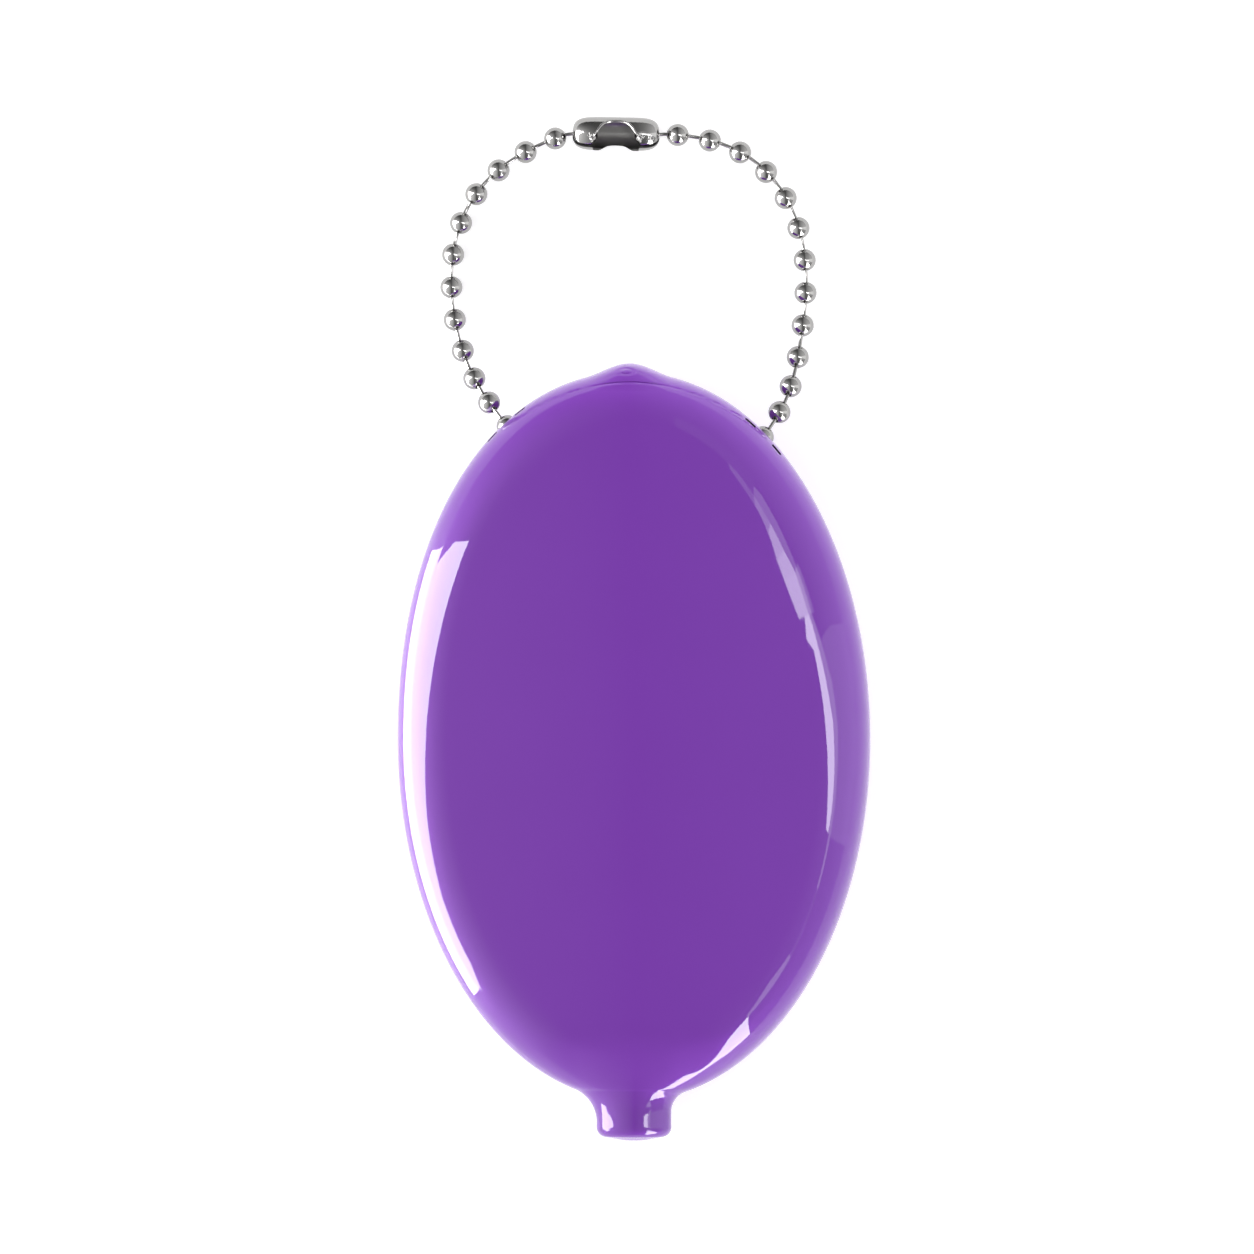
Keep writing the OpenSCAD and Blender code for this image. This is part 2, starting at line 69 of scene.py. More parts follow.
scene.view_settings.view_transform = "Standard"

# %% [markdown]
# Lengths below are in millimetres, as a maker would give them, and MM turns them into metres.
# The purse's own centre is at its widest place, which is found from the box of its shell. TINY
# keeps divisions and roots away from zero.

# %% Sizes of the purse
MM = 0.001
TINY = 0.01
BODY_W = 50.4
BODY_UP = 39.2
BODY_DOWN = 38.4
EDGE_Z = 6.2
FRONT_CROWN = 0.8
SHOULDER_FULLNESS = 2.08
RIM_W = 5.4
RIM_FULLNESS = 2.4
WALL = 1.4
TOP_LEAN = 0.5
NIB_H = 0.95
NIB_W = 9.6
STUB_W = 8.0
STUB_T = 7.0
STUB_L = 4.3
STUB_CORNER_LEFT = 3.8
STUB_CORNER_RIGHT = 2.2
STUB_EDGE_R = 1.1
STUB_CROWN = 0.4
NECK_FOOT = 1.5
NECK_L = 10.0
NECK_W = 5.5
NECK_FADE = 7.5
LIP_INSET = 6.6

shell_low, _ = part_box("purse_shell")
WIDEST_Y = shell_low.y / MM + BODY_DOWN + STUB_L
print("widest place at y", round(WIDEST_Y, 3), "mm")

# %% [markdown]
# The photograph looks straight down on the purse. A long lens high above the table keeps the
# scale even from the table up to the face, as it is there.

# %% Camera
PHOTO_PX = 1254
MM_PER_PX = 0.1065
WIDEST_PX = (634, 740)
CAMERA_H = 1600.0
SENSOR = 36.0

frame_mm = PHOTO_PX * MM_PER_PX
centre_x = (PHOTO_PX / 2 - WIDEST_PX[0]) * MM_PER_PX
centre_y = (WIDEST_PX[1] - PHOTO_PX / 2) * MM_PER_PX + WIDEST_Y
camera_data = bpy.data.cameras.new("camera")
camera_data.sensor_width = SENSOR
camera_data.lens = SENSOR * (CAMERA_H - EDGE_Z) / frame_mm
camera_data.clip_end = 20
camera = bpy.data.objects.new("camera", camera_data)
camera.location = (centre_x * MM, centre_y * MM, CAMERA_H * MM)
scene.collection.objects.link(camera)
scene.camera = camera
print("lens", round(camera_data.lens, 1), "mm")

# %% [markdown]
# ## Finishes
#
# Every finish is built from nodes, with no pictures, so it stays sharp from close by and needs no
# unwrapping. One helper makes a material and hands back what is needed to add to it.

# %% Material helpers


def set_up(node, settings):
    """Gives each value to the node's input of that name, or else to the node itself."""
    for key, value in settings.items():
        if key in node.inputs:
            node.inputs[key].default_value = value
        else:
            setattr(node, key, value)
    return node


def new_material(name):
    """A material, its shader, a function that adds a node with settings, and one that links."""
    material = bpy.data.materials.new(name)
    material.use_nodes = True
    tree = material.node_tree

    def add(kind, **settings):
        return set_up(tree.nodes.new(kind), settings)

    return material, tree.nodes["Principled BSDF"], add, tree.links.new


# %% [markdown]
# Dipped vinyl is an even, saturated purple under a wet-looking skin. The skin is never quite
# flat: shallow waves a few millimetres long bend the edges of its highlights. A picture of such
# a surface would bring its own lights along. So the base carries only the colour, nearly even,
# and a smooth clear coat above it carries the sharp reflections. The tint of the base's own
# shine stands for light that spreads inside the vinyl and leaves it at the rims.

# %% Vinyl
VINYL_COLOUR = (0.182, 0.0435, 0.385, 1.0)
VINYL_DEEP = (0.172, 0.041, 0.366, 1.0)
VINYL_SHEEN = (0.45, 0.08, 1.0, 1.0)


def make_vinyl():
    material, shader, add, link = new_material("glossy_vinyl")
    place = add("ShaderNodeTexCoord")
    cloud = add("ShaderNodeTexNoise", Scale=90.0, Detail=2.0)
    link(place.outputs["Object"], cloud.inputs["Vector"])
    tint = add("ShaderNodeMix", data_type="RGBA", A=VINYL_COLOUR, B=VINYL_DEEP)
    link(cloud.outputs["Fac"], tint.inputs["Factor"])
    link(tint.outputs["Result"], shader.inputs["Base Color"])
    waves = add("ShaderNodeTexNoise", Scale=260.0, Detail=1.0)
    link(place.outputs["Object"], waves.inputs["Vector"])
    bump = add("ShaderNodeBump", Strength=0.12, Distance=0.0003)
    link(waves.outputs["Fac"], bump.inputs["Height"])
    link(bump.outputs["Normal"], shader.inputs["Normal"])
    set_up(shader, {"Roughness": 0.5, "Specular IOR Level": 0.2, "Specular Tint": VINYL_SHEEN,
                    "Coat Weight": 1.0, "Coat IOR": 1.5, "Coat Roughness": 0.015})
    return material


vinyl = make_vinyl()
print("finish", vinyl.name)

# %% [markdown]
# The chain is nickel-plated steel, polished in a barrel: bright, a little dark in tone, with
# faint rubbing marks that spread its reflections. One recipe serves all its pieces, and only the
# roughness and the depth of the marks differ. Inside the clasp, the sheet is rougher, and its
# darker colour there is painted shade in the hollow of the tube.

# %% Nickel plating
NICKEL_COLOUR = (0.36, 0.355, 0.35, 1.0)
# Darker colour for the inside of the clasp tube: painted shade.
NICKEL_INSIDE_SHADE = (0.27, 0.265, 0.26, 1.0)
RUB_LEAST = 0.7
RUB_MOST = 1.5


def make_nickel(name, roughness, marks, colour=NICKEL_COLOUR):
    material, shader, add, link = new_material(name)
    place = add("ShaderNodeTexCoord")
    rub = add("ShaderNodeTexNoise", Scale=1800.0, Detail=4.0)
    link(place.outputs["Object"], rub.inputs["Vector"])
    spread = add("ShaderNodeMapRange", **{"To Min": roughness * RUB_LEAST,
                                          "To Max": roughness * RUB_MOST})
    link(rub.outputs["Fac"], spread.inputs["Value"])
    link(spread.outputs["Result"], shader.inputs["Roughness"])
    bump = add("ShaderNodeBump", Strength=marks, Distance=0.00002)
    link(rub.outputs["Fac"], bump.inputs["Height"])
    link(bump.outputs["Normal"], shader.inputs["Normal"])
    set_up(shader, {"Base Color": colour, "Metallic": 1.0})
    return material


ball_nickel = make_nickel("ball_nickel", 0.09, 0.15)
pin_nickel = make_nickel("pin_nickel", 0.12, 0.2)
clasp_nickel = make_nickel("clasp_nickel", 0.11, 0.25)
# The inside finish is rougher, and its darker colour is painted shade.
clasp_inside_rough_shaded = make_nickel("clasp_inside_rough_shaded", 0.3, 0.4, NICKEL_INSIDE_SHADE)
print("finishes", ball_nickel.name, pin_nickel.name, clasp_nickel.name, clasp_inside_rough_shaded.name)

# %% [markdown]
# ## Outline and section of the purse
#
# Seen from the front, the outline is two half ovals that meet at the widest place, the upper one
# a little fuller. From the outline the surface rolls up over a rim and runs out into a face with
# a slight crown. These functions also take arrays, so that a section is worked out at once.

# %% Form of the body


def smooth(t):
    """An even step from 0 to 1 that starts and ends level."""
    c = np.clip(t, 0, 1)
    return c * c * (3 - 2 * c)


def reach_at(y, inset=0.0):
    return np.where(y > 0, BODY_UP, BODY_DOWN) - inset


def fullness_at(y):
    return np.where(y > 0, SHOULDER_FULLNESS, 2.0)


def oval_point(angle, inset=0.0):
    """The point of the outline, or of its inset, at an angle round the widest place."""
    side, up = math.cos(angle), math.sin(angle)
    n = float(fullness_at(up))
    x = math.copysign((BODY_W / 2 - inset) * abs(side) ** (2 / n), side)
    return x, math.copysign(float(reach_at(up, inset)) * abs(up) ** (2 / n), up)


def half_width(y, inset=0.0):
    n = fullness_at(y)
    v = np.minimum(np.abs(y) / reach_at(y, inset), 1)
    return (BODY_W / 2 - inset) * np.maximum(1 - v**n, 0) ** (1 / n)


def share_out(x, y, inset=0.0):
    """Size of the scaled outline through a point: 0 at the centre and 1 at the edge."""
    n = fullness_at(y)
    u = np.abs(x) / (BODY_W / 2 - inset)
    v = np.abs(y) / reach_at(y, inset)
    return (u**n + v**n) ** (1 / n)


def depth_in(x, y, inset=0.0):
    """Distance from the outline, inward."""
    n = fullness_at(y)
    u = np.abs(x) / (BODY_W / 2 - inset)
    v = np.abs(y) / reach_at(y, inset)
    f = np.maximum(share_out(x, y, inset), TINY)
    slope = np.hypot(u ** (n - 1) / (BODY_W / 2 - inset), v ** (n - 1) / reach_at(y, inset))
    return np.maximum(1 - f, 0) / np.maximum(slope * f ** (1 - n), TINY)


def rim_share(depth, inset=0.0):
    """Height of the rolled rim, as a share of its full height."""
    t = np.minimum(depth / (RIM_W - inset), 1)
    return np.maximum(1 - (1 - t) ** RIM_FULLNESS, 0) ** (1 / RIM_FULLNESS)


def lean(y):
    return -TOP_LEAN * smooth(y / BODY_UP)


print("outline", BODY_W, "by", BODY_UP + BODY_DOWN, "mm")

# %% [markdown]
# The stub is where the mould was held when it was dipped. It is a short flattened bar, and a
# hollow corner leads from the body into it. The rim's height runs out into the bar's.

# %% Form of the stub
stub_end_y = -BODY_DOWN - STUB_L
stub_blend = EDGE_Z - STUB_T / 2


def body_slope(w):
    """Slope of the lower outline at a half width."""
    y = BODY_DOWN * math.sqrt(1 - (2 * w / BODY_W) ** 2)
    return math.atan2(w * BODY_DOWN**2, y * BODY_W**2 / 4)


def corner_of(r):
    """A hollow corner: its radius, slope and height where it leaves the body, and its centre."""
    w = STUB_W / 2 + r / 2
    for _ in range(12):
        w = STUB_W / 2 + r * (1 - math.sin(body_slope(w)))
    slope = body_slope(w)
    y = -BODY_DOWN * math.sqrt(1 - (2 * w / BODY_W) ** 2)
    return r, slope, y, y - r * math.cos(slope)


left_corner = corner_of(STUB_CORNER_LEFT)
right_corner = corner_of(STUB_CORNER_RIGHT)
body_foot_y = max(left_corner[2], right_corner[2])
print("hollow corners end at", round(left_corner[3], 2), round(right_corner[3], 2), "mm")


def neck_side(y, corner):
    """Half width of the neck at height y, on the side that has this corner."""
    r, slope, top_y, centre_y = corner
    if y >= top_y:
        return float(half_width(y))
    if y > centre_y:
        return STUB_W / 2 + r - math.sqrt(r**2 - (y - centre_y) ** 2)
    return STUB_W / 2


def smooth_max(a, b, k):
    h = np.maximum(k - np.abs(a - b), 0) / k
    return np.maximum(a, b) + h * h * k / 4


def centre_half(y):
    return EDGE_Z * rim_share(depth_in(0 * y, y))


def stub_half(y):
    """Half thickness on the middle line at the rear, where the rim runs out into the stub."""
    return smooth_max(np.where(y > -BODY_DOWN, centre_half(y), 0), STUB_T / 2, stub_blend)


def neck_half(y):
    """The front rises along the neck in one long easy curve."""
    return STUB_T / 2 + stub_blend * smooth((y + BODY_DOWN + NECK_FOOT) / NECK_L)


def neck_scale(x, y):
    """What the rim's height is multiplied by, so that the front follows the neck."""
    near = 1 - smooth((np.abs(x) - NECK_W) / NECK_FADE)
    share = neck_half(y) / np.maximum(centre_half(y), TINY)
    return np.where(y > 0, 1.0, 1 + (share - 1) * near)


# %% [markdown]
# The nib at the top is a low swelling of the rim, with a shallow ring pressed into it. Below it a
# broken crease line runs across the rim, as a mark of the mould. Both could be sculpted or faked
# with a bump. Here they lower the points of the skin, so they catch the light as real dents do.

# %% Nib and crease
NIB_FOOT_Y = 37.0
NIB_RISE_L = 1.6
CREASE_MIDDLE = (-0.4, 38.0)
CREASE_BOW = 0.0262
CREASE_REACH = 12.8
CREASE_W = 0.09
CREASE_DEPTH = 0.15
RING_MIDDLE = (-0.85, 39.2)
RING_HALF = (0.72, 0.3)
RING_DEPTH = 0.16
RING_SOFTNESS = 0.4
DASH_LEVEL = 0.62
DASH_LEAST = 0.12
DASH_WAVES = ((0.8, 2.9, 1.1), (0.5, 7.3, 0.0))
FIRM_LEVEL = 1.3
FIRM_FADE = 6.0
CREASE_RUN_OUT = 0.8


def nib_lift(x, y):
    across = np.cos(np.minimum(np.abs(x) / (NIB_W / 2), 1) * math.pi / 2) ** 2
    return NIB_H * across * smooth((y - NIB_FOOT_Y) / NIB_RISE_L)


def mould_marks(x, y):
    """How far the crease and the ring on the nib lie below the surface."""
    from_middle = x - CREASE_MIDDLE[0]
    off_line = y - CREASE_MIDDLE[1] + CREASE_BOW * from_middle**2
    dashes = DASH_LEVEL
    for much, often, start in DASH_WAVES:
        dashes = dashes + much * np.sin(often * x + start)
    dashes = np.clip(dashes, DASH_LEAST, 1)
    near_middle = np.clip(FIRM_LEVEL - np.abs(from_middle) / FIRM_FADE, 0, 1)
    crease = np.exp(-((off_line / CREASE_W) ** 2)) * np.maximum(dashes, near_middle)
    crease = crease * smooth((CREASE_REACH - np.abs(from_middle)) / CREASE_RUN_OUT)
    ring = np.hypot((x - RING_MIDDLE[0]) / RING_HALF[0], (y - RING_MIDDLE[1]) / RING_HALF[1])
    pressed = np.exp(-(((ring - 1) / RING_SOFTNESS) ** 2))
    return CREASE_DEPTH * crease + RING_DEPTH * pressed


# %% [markdown]
# A closed skin is a stack of loops, each one section of the purse from side to side. The loops
# lie close together where the surface turns fast: at the rim, at the nib and in the stub.

# %% Sections
EDGE_STEPS = 24
FACE_STEPS = 12
ROLLED_MOST = 0.85
STUB_DOME_SHARES = (0.2, 0.4, 0.6, 0.8)
STUB_EDGE_STEPS = 14
STUB_SIDE_STEPS = 40


def across_shares(w, edge_steps, face_steps):
    """Shares of the half width at which a section has its points, from right to left."""
    rolled = min(RIM_W, ROLLED_MOST * w) / w
    edge = 1 - rolled * (1 - np.cos(np.radians(90 * np.arange(edge_steps + 1) / edge_steps)))
    face = (1 - rolled) * (1 - np.arange(1, face_steps + 1) / face_steps)
    half = np.concatenate([edge, face])
    return np.concatenate([half, -half[-2::-1]])


def loop_of(front, rear):
    return np.concatenate([front, rear[-2:0:-1]])


def body_loop(angle, inset=0.0, edge_steps=EDGE_STEPS, face_steps=FACE_STEPS):
    """One section of the body, or of the hollow, which is the body with an inset."""
    w, y = oval_point(angle, inset)
    shares = across_shares(w, edge_steps, face_steps)
    x = shares * w
    ys = np.full_like(x, y)
    outside = inset == 0
    scale = neck_scale(x, ys) if outside else 1.0
    swell = stub_half(ys) / np.maximum(centre_half(ys), TINY) if outside and y < 0 else 1.0
    top = ys + nib_lift(x, y) if outside and y > 0 else ys
    rise = rim_share(depth_in(x, ys, inset), inset)
    crown = FRONT_CROWN * (1 - share_out(x, ys, inset) ** 2)
    half = EDGE_Z - inset
    xs = x + lean(y)
    marks = mould_marks(xs, top) if outside and y > 0 else 0.0
    front = np.stack([xs, top, EDGE_Z + rise * (half * scale + crown) - marks], axis=1)
    rear = np.stack([xs, top, EDGE_Z - rise * half * swell], axis=1)
    return loop_of(front, rear)


def stub_loop(y, drop, share=1.0):
    """One section of the stub and the neck above it, a distance inside its full size."""
    shares = across_shares(STUB_W / 2, EDGE_STEPS, FACE_STEPS)
    left, right = neck_side(y, left_corner), neck_side(y, right_corner)
    x = share * shares * (np.where(shares < 0, left, right) - drop)
    rise = share * np.maximum(1 - shares**2, 0) ** (1 / RIM_FULLNESS)
    ys = np.full_like(x, y)
    front = np.stack([x, ys, EDGE_Z + rise * (neck_half(ys) - drop)], axis=1)
    rear = np.stack([x, ys, EDGE_Z - rise * (stub_half(ys) - drop)], axis=1)
    return loop_of(front, rear)


def stub_loops():
    """Domed end, rounded end edge, straight side and hollow corners, from the end upward."""
    loops = [stub_loop(stub_end_y + STUB_CROWN * share**2, STUB_EDGE_R, share)
             for share in STUB_DOME_SHARES]
    for a in np.linspace(math.pi / 2, 0, STUB_EDGE_STEPS):
        y = stub_end_y + STUB_CROWN + STUB_EDGE_R * (1 - math.sin(a))
        loops.append(stub_loop(y, STUB_EDGE_R * (1 - math.cos(a))))
    straight_y = stub_end_y + STUB_CROWN + STUB_EDGE_R
    for y in np.linspace(straight_y, body_foot_y, STUB_SIDE_STEPS)[1:-1]:
        loops.append(stub_loop(float(y), 0.0))
    return loops


def mesh_piece(name, points, faces, material):
    """An object in the scene from points in millimetres and faces."""
    mesh = bpy.data.meshes.new(name)
    mesh.from_pydata([tuple(p) for p in np.asarray(points) * MM], [], faces)
    mesh.validate()
    mesh.materials.append(material)
    mesh.shade_smooth()
    piece = bpy.data.objects.new(name, mesh)
    scene.collection.objects.link(piece)
    return piece


def skin(name, loops, low, high, material):
    """A closed skin over a stack of loops, with a point that closes it at each end."""
    n = len(loops[0])
    points = np.concatenate([[low], *loops, [high]]) + np.array([0, WIDEST_Y, 0])
    faces = [(0, 1 + (i + 1) % n, 1 + i) for i in range(n)]
    for j in range(len(loops) - 1):
        for i in range(n):
            a = 1 + j * n + i
            b = 1 + j * n + (i + 1) % n
            faces.append((a, b, b + n, a + n))
    last = 1 + (len(loops) - 1) * n
    faces += [(last + i, last + (i + 1) % n, last + n) for i in range(n)]
    return mesh_piece(name, points, faces, material)


# %% [markdown]
# ## The purse body
#
# The outer skin and the hollow inside it are two such stacks. The hollow, the opening in the
# back and the two chain slits are then taken out of it with booleans, as a cutter would take
# them out of a moulding.

# %% Outer skin and hollow
NIB_FROM = math.radians(58)
NIB_TO = math.radians(89.7)
LOOPS_BELOW_NIB = 150
LOOPS_AT_NIB = 110
HOLLOW_TO = 86
HOLLOW_LOOPS = 90
HOLLOW_EDGE_STEPS = 12
HOLLOW_FACE_STEPS = 6

below = np.linspace(math.asin(body_foot_y / BODY_DOWN), NIB_FROM, LOOPS_BELOW_NIB)
above = np.linspace(NIB_FROM, NIB_TO, LOOPS_AT_NIB)[1:]
loops = stub_loops() + [body_loop(a) for a in np.concatenate([below, above])]
top_x = float(lean(BODY_UP))
foot, top = (0, stub_end_y, EDGE_Z), (top_x, BODY_UP + NIB_H, EDGE_Z)
purse_body = skin("purse_body", loops, foot, top, vinyl)

angles = np.radians(np.linspace(-HOLLOW_TO, HOLLOW_TO, HOLLOW_LOOPS))
loops = [body_loop(a, WALL, HOLLOW_EDGE_STEPS, HOLLOW_FACE_STEPS) for a in angles]
foot, top = (0, -BODY_DOWN + WALL, EDGE_Z), (top_x, BODY_UP - WALL, EDGE_Z)
hollow = skin("hollow", loops, foot, top, vinyl)
print("outer skin", len(purse_body.data.polygons), "faces")

# %% [markdown]
# A boolean needs a cutter that is a closed solid. One helper cuts a piece with a cutter and throws
# the cutter away. Most cutters are prisms. After the cuts, only the edges of real corners are
# marked sharp, so that all else is shaded smooth.

# %% Cutting helpers
VINYL_SHARP = 40


def cut(piece, cutter):
    change = piece.modifiers.new("cut", "BOOLEAN")
    change.operation = "DIFFERENCE"
    change.solver = "EXACT"
    change.object = cutter
    bpy.context.view_layer.update()
    seen = piece.evaluated_get(bpy.context.evaluated_depsgraph_get())
    mesh = bpy.data.meshes.new_from_object(seen)
    piece.modifiers.clear()
    old = piece.data
    piece.data = mesh
    bpy.data.meshes.remove(old)
    bpy.data.objects.remove(cutter)
    print("cut", piece.name, "to", len(mesh.polygons), "faces")


def prism_faces(n):
    """The two ends and the sides of a prism whose points are one outline and then the other."""
    sides = [(i, (i + 1) % n, n + (i + 1) % n, n + i) for i in range(n)]
    return [tuple(range(n - 1, -1, -1)), tuple(range(n, 2 * n))] + sides


def prism(name, outline, low_z, high_z):
    points = [(x, y, z) for z in (low_z, high_z) for x, y in outline]
    return mesh_piece(name, points, prism_faces(len(outline)), vinyl)


def face_outward(piece):
    work = bmesh.new()
    work.from_mesh(piece.data)
    bmesh.ops.recalc_face_normals(work, faces=work.faces)
    work.to_mesh(piece.data)
    work.free()


def sharpen(piece, degrees):
    """Marks the edges sharp whose faces meet at more than an angle."""
    mesh = piece.data
    work = bmesh.new()
    work.from_mesh(mesh)
    limit = math.radians(degrees)
    for edge in work.edges:
        edge.smooth = len(edge.link_faces) == 2 and edge.calc_face_angle(0) < limit
    for face in work.faces:
        face.smooth = True
    work.to_mesh(mesh)
    work.free()


# %% [markdown]
# The rear wall is cut away inside a ring that follows the outline at an even distance. The two
# back halves, which swing open, fill that opening again further down.

# %% Opening in the back
BACK_POINTS = 144


def back_outline():
    angles = np.radians(np.arange(BACK_POINTS) * 360 / BACK_POINTS - 90)
    points = [oval_point(angle, LIP_INSET) for angle in angles]
    return [(x + float(lean(y)), y + WIDEST_Y) for x, y in points]


cut(purse_body, hollow)
cut(purse_body, prism("back_cutter", back_outline(), -1.0, 2 * WALL))

# %% [markdown]
# Each chain slit is a knife cut along the parting edge, and the ball that sits in it holds its
# middle open as a lens. The places come from the two balls that sit in the slits. The knife also
# left two short grooves in the skin in front of each slit, which are shallow cuts from above.

# %% Chain slits
SLIT_L = 5.2
SLIT_OPEN_L = 3.8
SLIT_CUT_W = 0.2
SLIT_OPEN_H = 2.9
GROOVE_FROM = 1.3
GROOVE_TO = 2.75
GROOVE_MIDDLE = {-1: 0.17, 1: 0.34}
GROOVE_HALF_W = {-1: 0.06, 1: 0.1}
GROOVE_FLOOR = 1.2
GROOVE_TIP = 0.2
GROOVE_STEPS = 9
EDGE_SEARCH = 3.0
SLIT_TIP_HALF_W = 0.02
SLIT_CUT_IN = -2.6 * WALL
SLIT_CUT_OUT = 2.0 * WALL
LENS_STEPS = 24


def box_centre(node):
    low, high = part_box(node)
    return (low + high) / 2 / MM


def slit_outline():
    """A lens with a straight cut beyond each of its ends, seen from outside the purse."""
    r = (SLIT_OPEN_L**2 / 4 + SLIT_OPEN_H**2 / 4) / SLIT_OPEN_H
    reach = math.asin(SLIT_OPEN_L / 2 / r)
    top = []
    for a in np.linspace(-reach, reach, LENS_STEPS):
        height = r * math.cos(a) - (r - SLIT_OPEN_H / 2)
        top.append((r * math.sin(a), max(height, SLIT_CUT_W / 2)))
    top = [(-SLIT_L / 2, SLIT_TIP_HALF_W)] + top + [(SLIT_L / 2, SLIT_TIP_HALF_W)]
    return top + [(x, -y) for x, y in reversed(top)]


def slit_frame(side, node):
    """Middle of a slit, and the directions out of the purse and along the outline there."""
    centre = box_centre(node)
    y = centre.y - WIDEST_Y
    n = SHOULDER_FULLNESS
    u = float(half_width(y)) / (BODY_W / 2)
    v = y / BODY_UP
    outward = math.atan2(v ** (n - 1) / BODY_UP, u ** (n - 1) / (BODY_W / 2))
    if side < 0:
        outward = math.pi - outward
    out = Vector((math.cos(outward), math.sin(outward), 0))
    return centre, out, Vector((-out.y, out.x, 0))


def edge_reach(start, out):
    """How far the outline lies from a point, along a direction."""
    low, high = -EDGE_SEARCH, EDGE_SEARCH
    for _ in range(30):
        middle = (low + high) / 2
        y = start.y + middle * out.y - WIDEST_Y
        x = start.x + middle * out.x - float(lean(y))
        if float(share_out(x, y)) < 1:
            low = middle
        else:
            high = middle
    return low


def groove_cutter(side, node, end):
    """A groove along the outline, at one end of a slit, that narrows to a tip."""
    centre, out, along = slit_frame(side, node)
    inner, outer = [], []
    for a in np.linspace(GROOVE_FROM, GROOVE_TO, GROOVE_STEPS):
        start = centre + along * (float(a) * end)
        reach = edge_reach(start, out)
        half = GROOVE_HALF_W[side] * (GROOVE_TIP if a == GROOVE_TO else 1.0)
        outer.append(start + out * (reach - GROOVE_MIDDLE[side] + half))
        inner.append(start + out * (reach - GROOVE_MIDDLE[side] - half))
    outline = [(q.x, q.y) for q in outer + inner[::-1]]
    area = sum(outline[i - 1][0] * q[1] - q[0] * outline[i - 1][1] for i, q in enumerate(outline))
    outline = outline if area > 0 else outline[::-1]
    return prism("groove_cutter", outline, EDGE_Z + GROOVE_FLOOR, 3 * EDGE_Z)


def slit_cutter(side, node):
    centre, out, along = slit_frame(side, node)
    outline = slit_outline()
    points = []
    for reach in (SLIT_CUT_IN, SLIT_CUT_OUT):
        for a, b in outline:
            points.append(centre + out * reach + along * a + Vector((0, 0, b)))
    return mesh_piece("slit_cutter", points, prism_faces(len(outline)), vinyl)


for side, node in ((-1, "left_ball_00"), (1, "right_ball_00")):
    cut(purse_body, slit_cutter(side, node))
    for end in (-1, 1):
        cut(purse_body, groove_cutter(side, node, end))
sharpen(purse_body, VINYL_SHARP)
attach(purse_body, "purse")
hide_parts("purse_shell")

# %% [markdown]
# ## The two back halves
#
# The back is the same vinyl as the front, cut along its middle. When the ends of the purse are
# squeezed, the two halves swing open like lips, most at the middle of the slit and not at all at
# its ends. A stiff flap on a hinge would tear away from the ring there.

# %% Back halves
SLIT_END = 0.93
SLIT_HALF_GAP = 0.1
SLIT_ROUND = 0.35
SLIT_FADE = 0.25
ROUND_LEAST = 0.001
BACK_COLUMNS = 28
ROUND_STEPS = 5


def back_half_loop(side, x_edge, y, y_share):
    """One section of a half: along its outside to the slit, round the lip and back inside."""
    fade = float(smooth((SLIT_END - abs(y_share)) / SLIT_FADE))
    width = abs(x_edge)
    gap = min(SLIT_HALF_GAP * fade, width / 4)
    r = max(min(SLIT_ROUND * fade, width / 4, WALL / 3), ROUND_LEAST)
    columns = np.linspace(x_edge, side * (gap + r), BACK_COLUMNS)
    low = [(x, y, 0.0) for x in columns]
    for a in np.linspace(0, math.pi / 2, ROUND_STEPS)[1:]:
        low.append((side * (gap + r * (1 - math.sin(a))), y, r * (1 - math.cos(a))))
    high = [(x, y, WALL) for x in columns[::-1]]
    for a in np.linspace(0, math.pi / 2, ROUND_STEPS)[:-1]:
        low.append((side * (gap + r * (1 - math.cos(a))), y, WALL - r * (1 - math.sin(a))))
    return low + high


def make_back_half(side, name, node):
    outline = np.array(back_outline())
    top = outline[BACK_POINTS // 2]
    bottom = outline[0]
    if side > 0:
        edge = outline[1:BACK_POINTS // 2]
    else:
        edge = outline[:BACK_POINTS // 2:-1]
    middle_y = (top[1] + bottom[1]) / 2
    reach = (top[1] - bottom[1]) / 2
    lift = np.array([0, WIDEST_Y, 0])
    loops = [np.array(back_half_loop(side, x, y, (y - middle_y) / reach)) - lift for x, y in edge]
    low = (bottom[0], bottom[1] - WIDEST_Y, WALL / 2)
    high = (top[0], top[1] - WIDEST_Y, WALL / 2)
    half = skin(name, loops, low, high, vinyl)
    face_outward(half)
    sharpen(half, VINYL_SHARP)
    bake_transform(half)
    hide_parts(node)
    return half


back_left = make_back_half(-1, "back_left", "left_lip")
back_right = make_back_half(1, "back_right", "right_lip")
print("back halves", len(back_left.data.vertices), len(back_right.data.vertices))

# %% [markdown]
# ## The ball chain
#
# A ball is stamped from a strip, rolled round and closed over the heads of two pins. Every ball
# and pin of the loop points its own way. Those ways could be posed by hand, but the solids of the
# frame know them already, so each line is read from the spread of a solid's points.

# %% Lines of the chain
HEAD_DEPTH = 0.66
HEAD_R = 0.4


def pin_line(node):
    """The two holes that a pin runs between, from the spread of its solid's points."""
    co = np.array([v.co for v in frame["nodes"][node].data.vertices]) / MM
    middle = (co.min(0) + co.max(0)) / 2
    _, _, axes = np.linalg.svd(co - co.mean(0), full_matrices=False)
    line = axes[0] / np.linalg.norm(axes[0])
    reach = np.abs((co - middle) @ line).max() - HEAD_R - HEAD_DEPTH
    return middle - line * reach, middle + line * reach


def side_nodes(side, last):
    """The balls and the pins on one side, in order from the slit to the clasp."""
    balls = [f"{side}_ball_{k:02d}" for k in range(last + 1)] + [f"{side}_end_ball"]
    pins = [f"{side}_pin_{k:02d}" for k in range(last)] + [f"{side}_end_pin"]
    return balls, pins


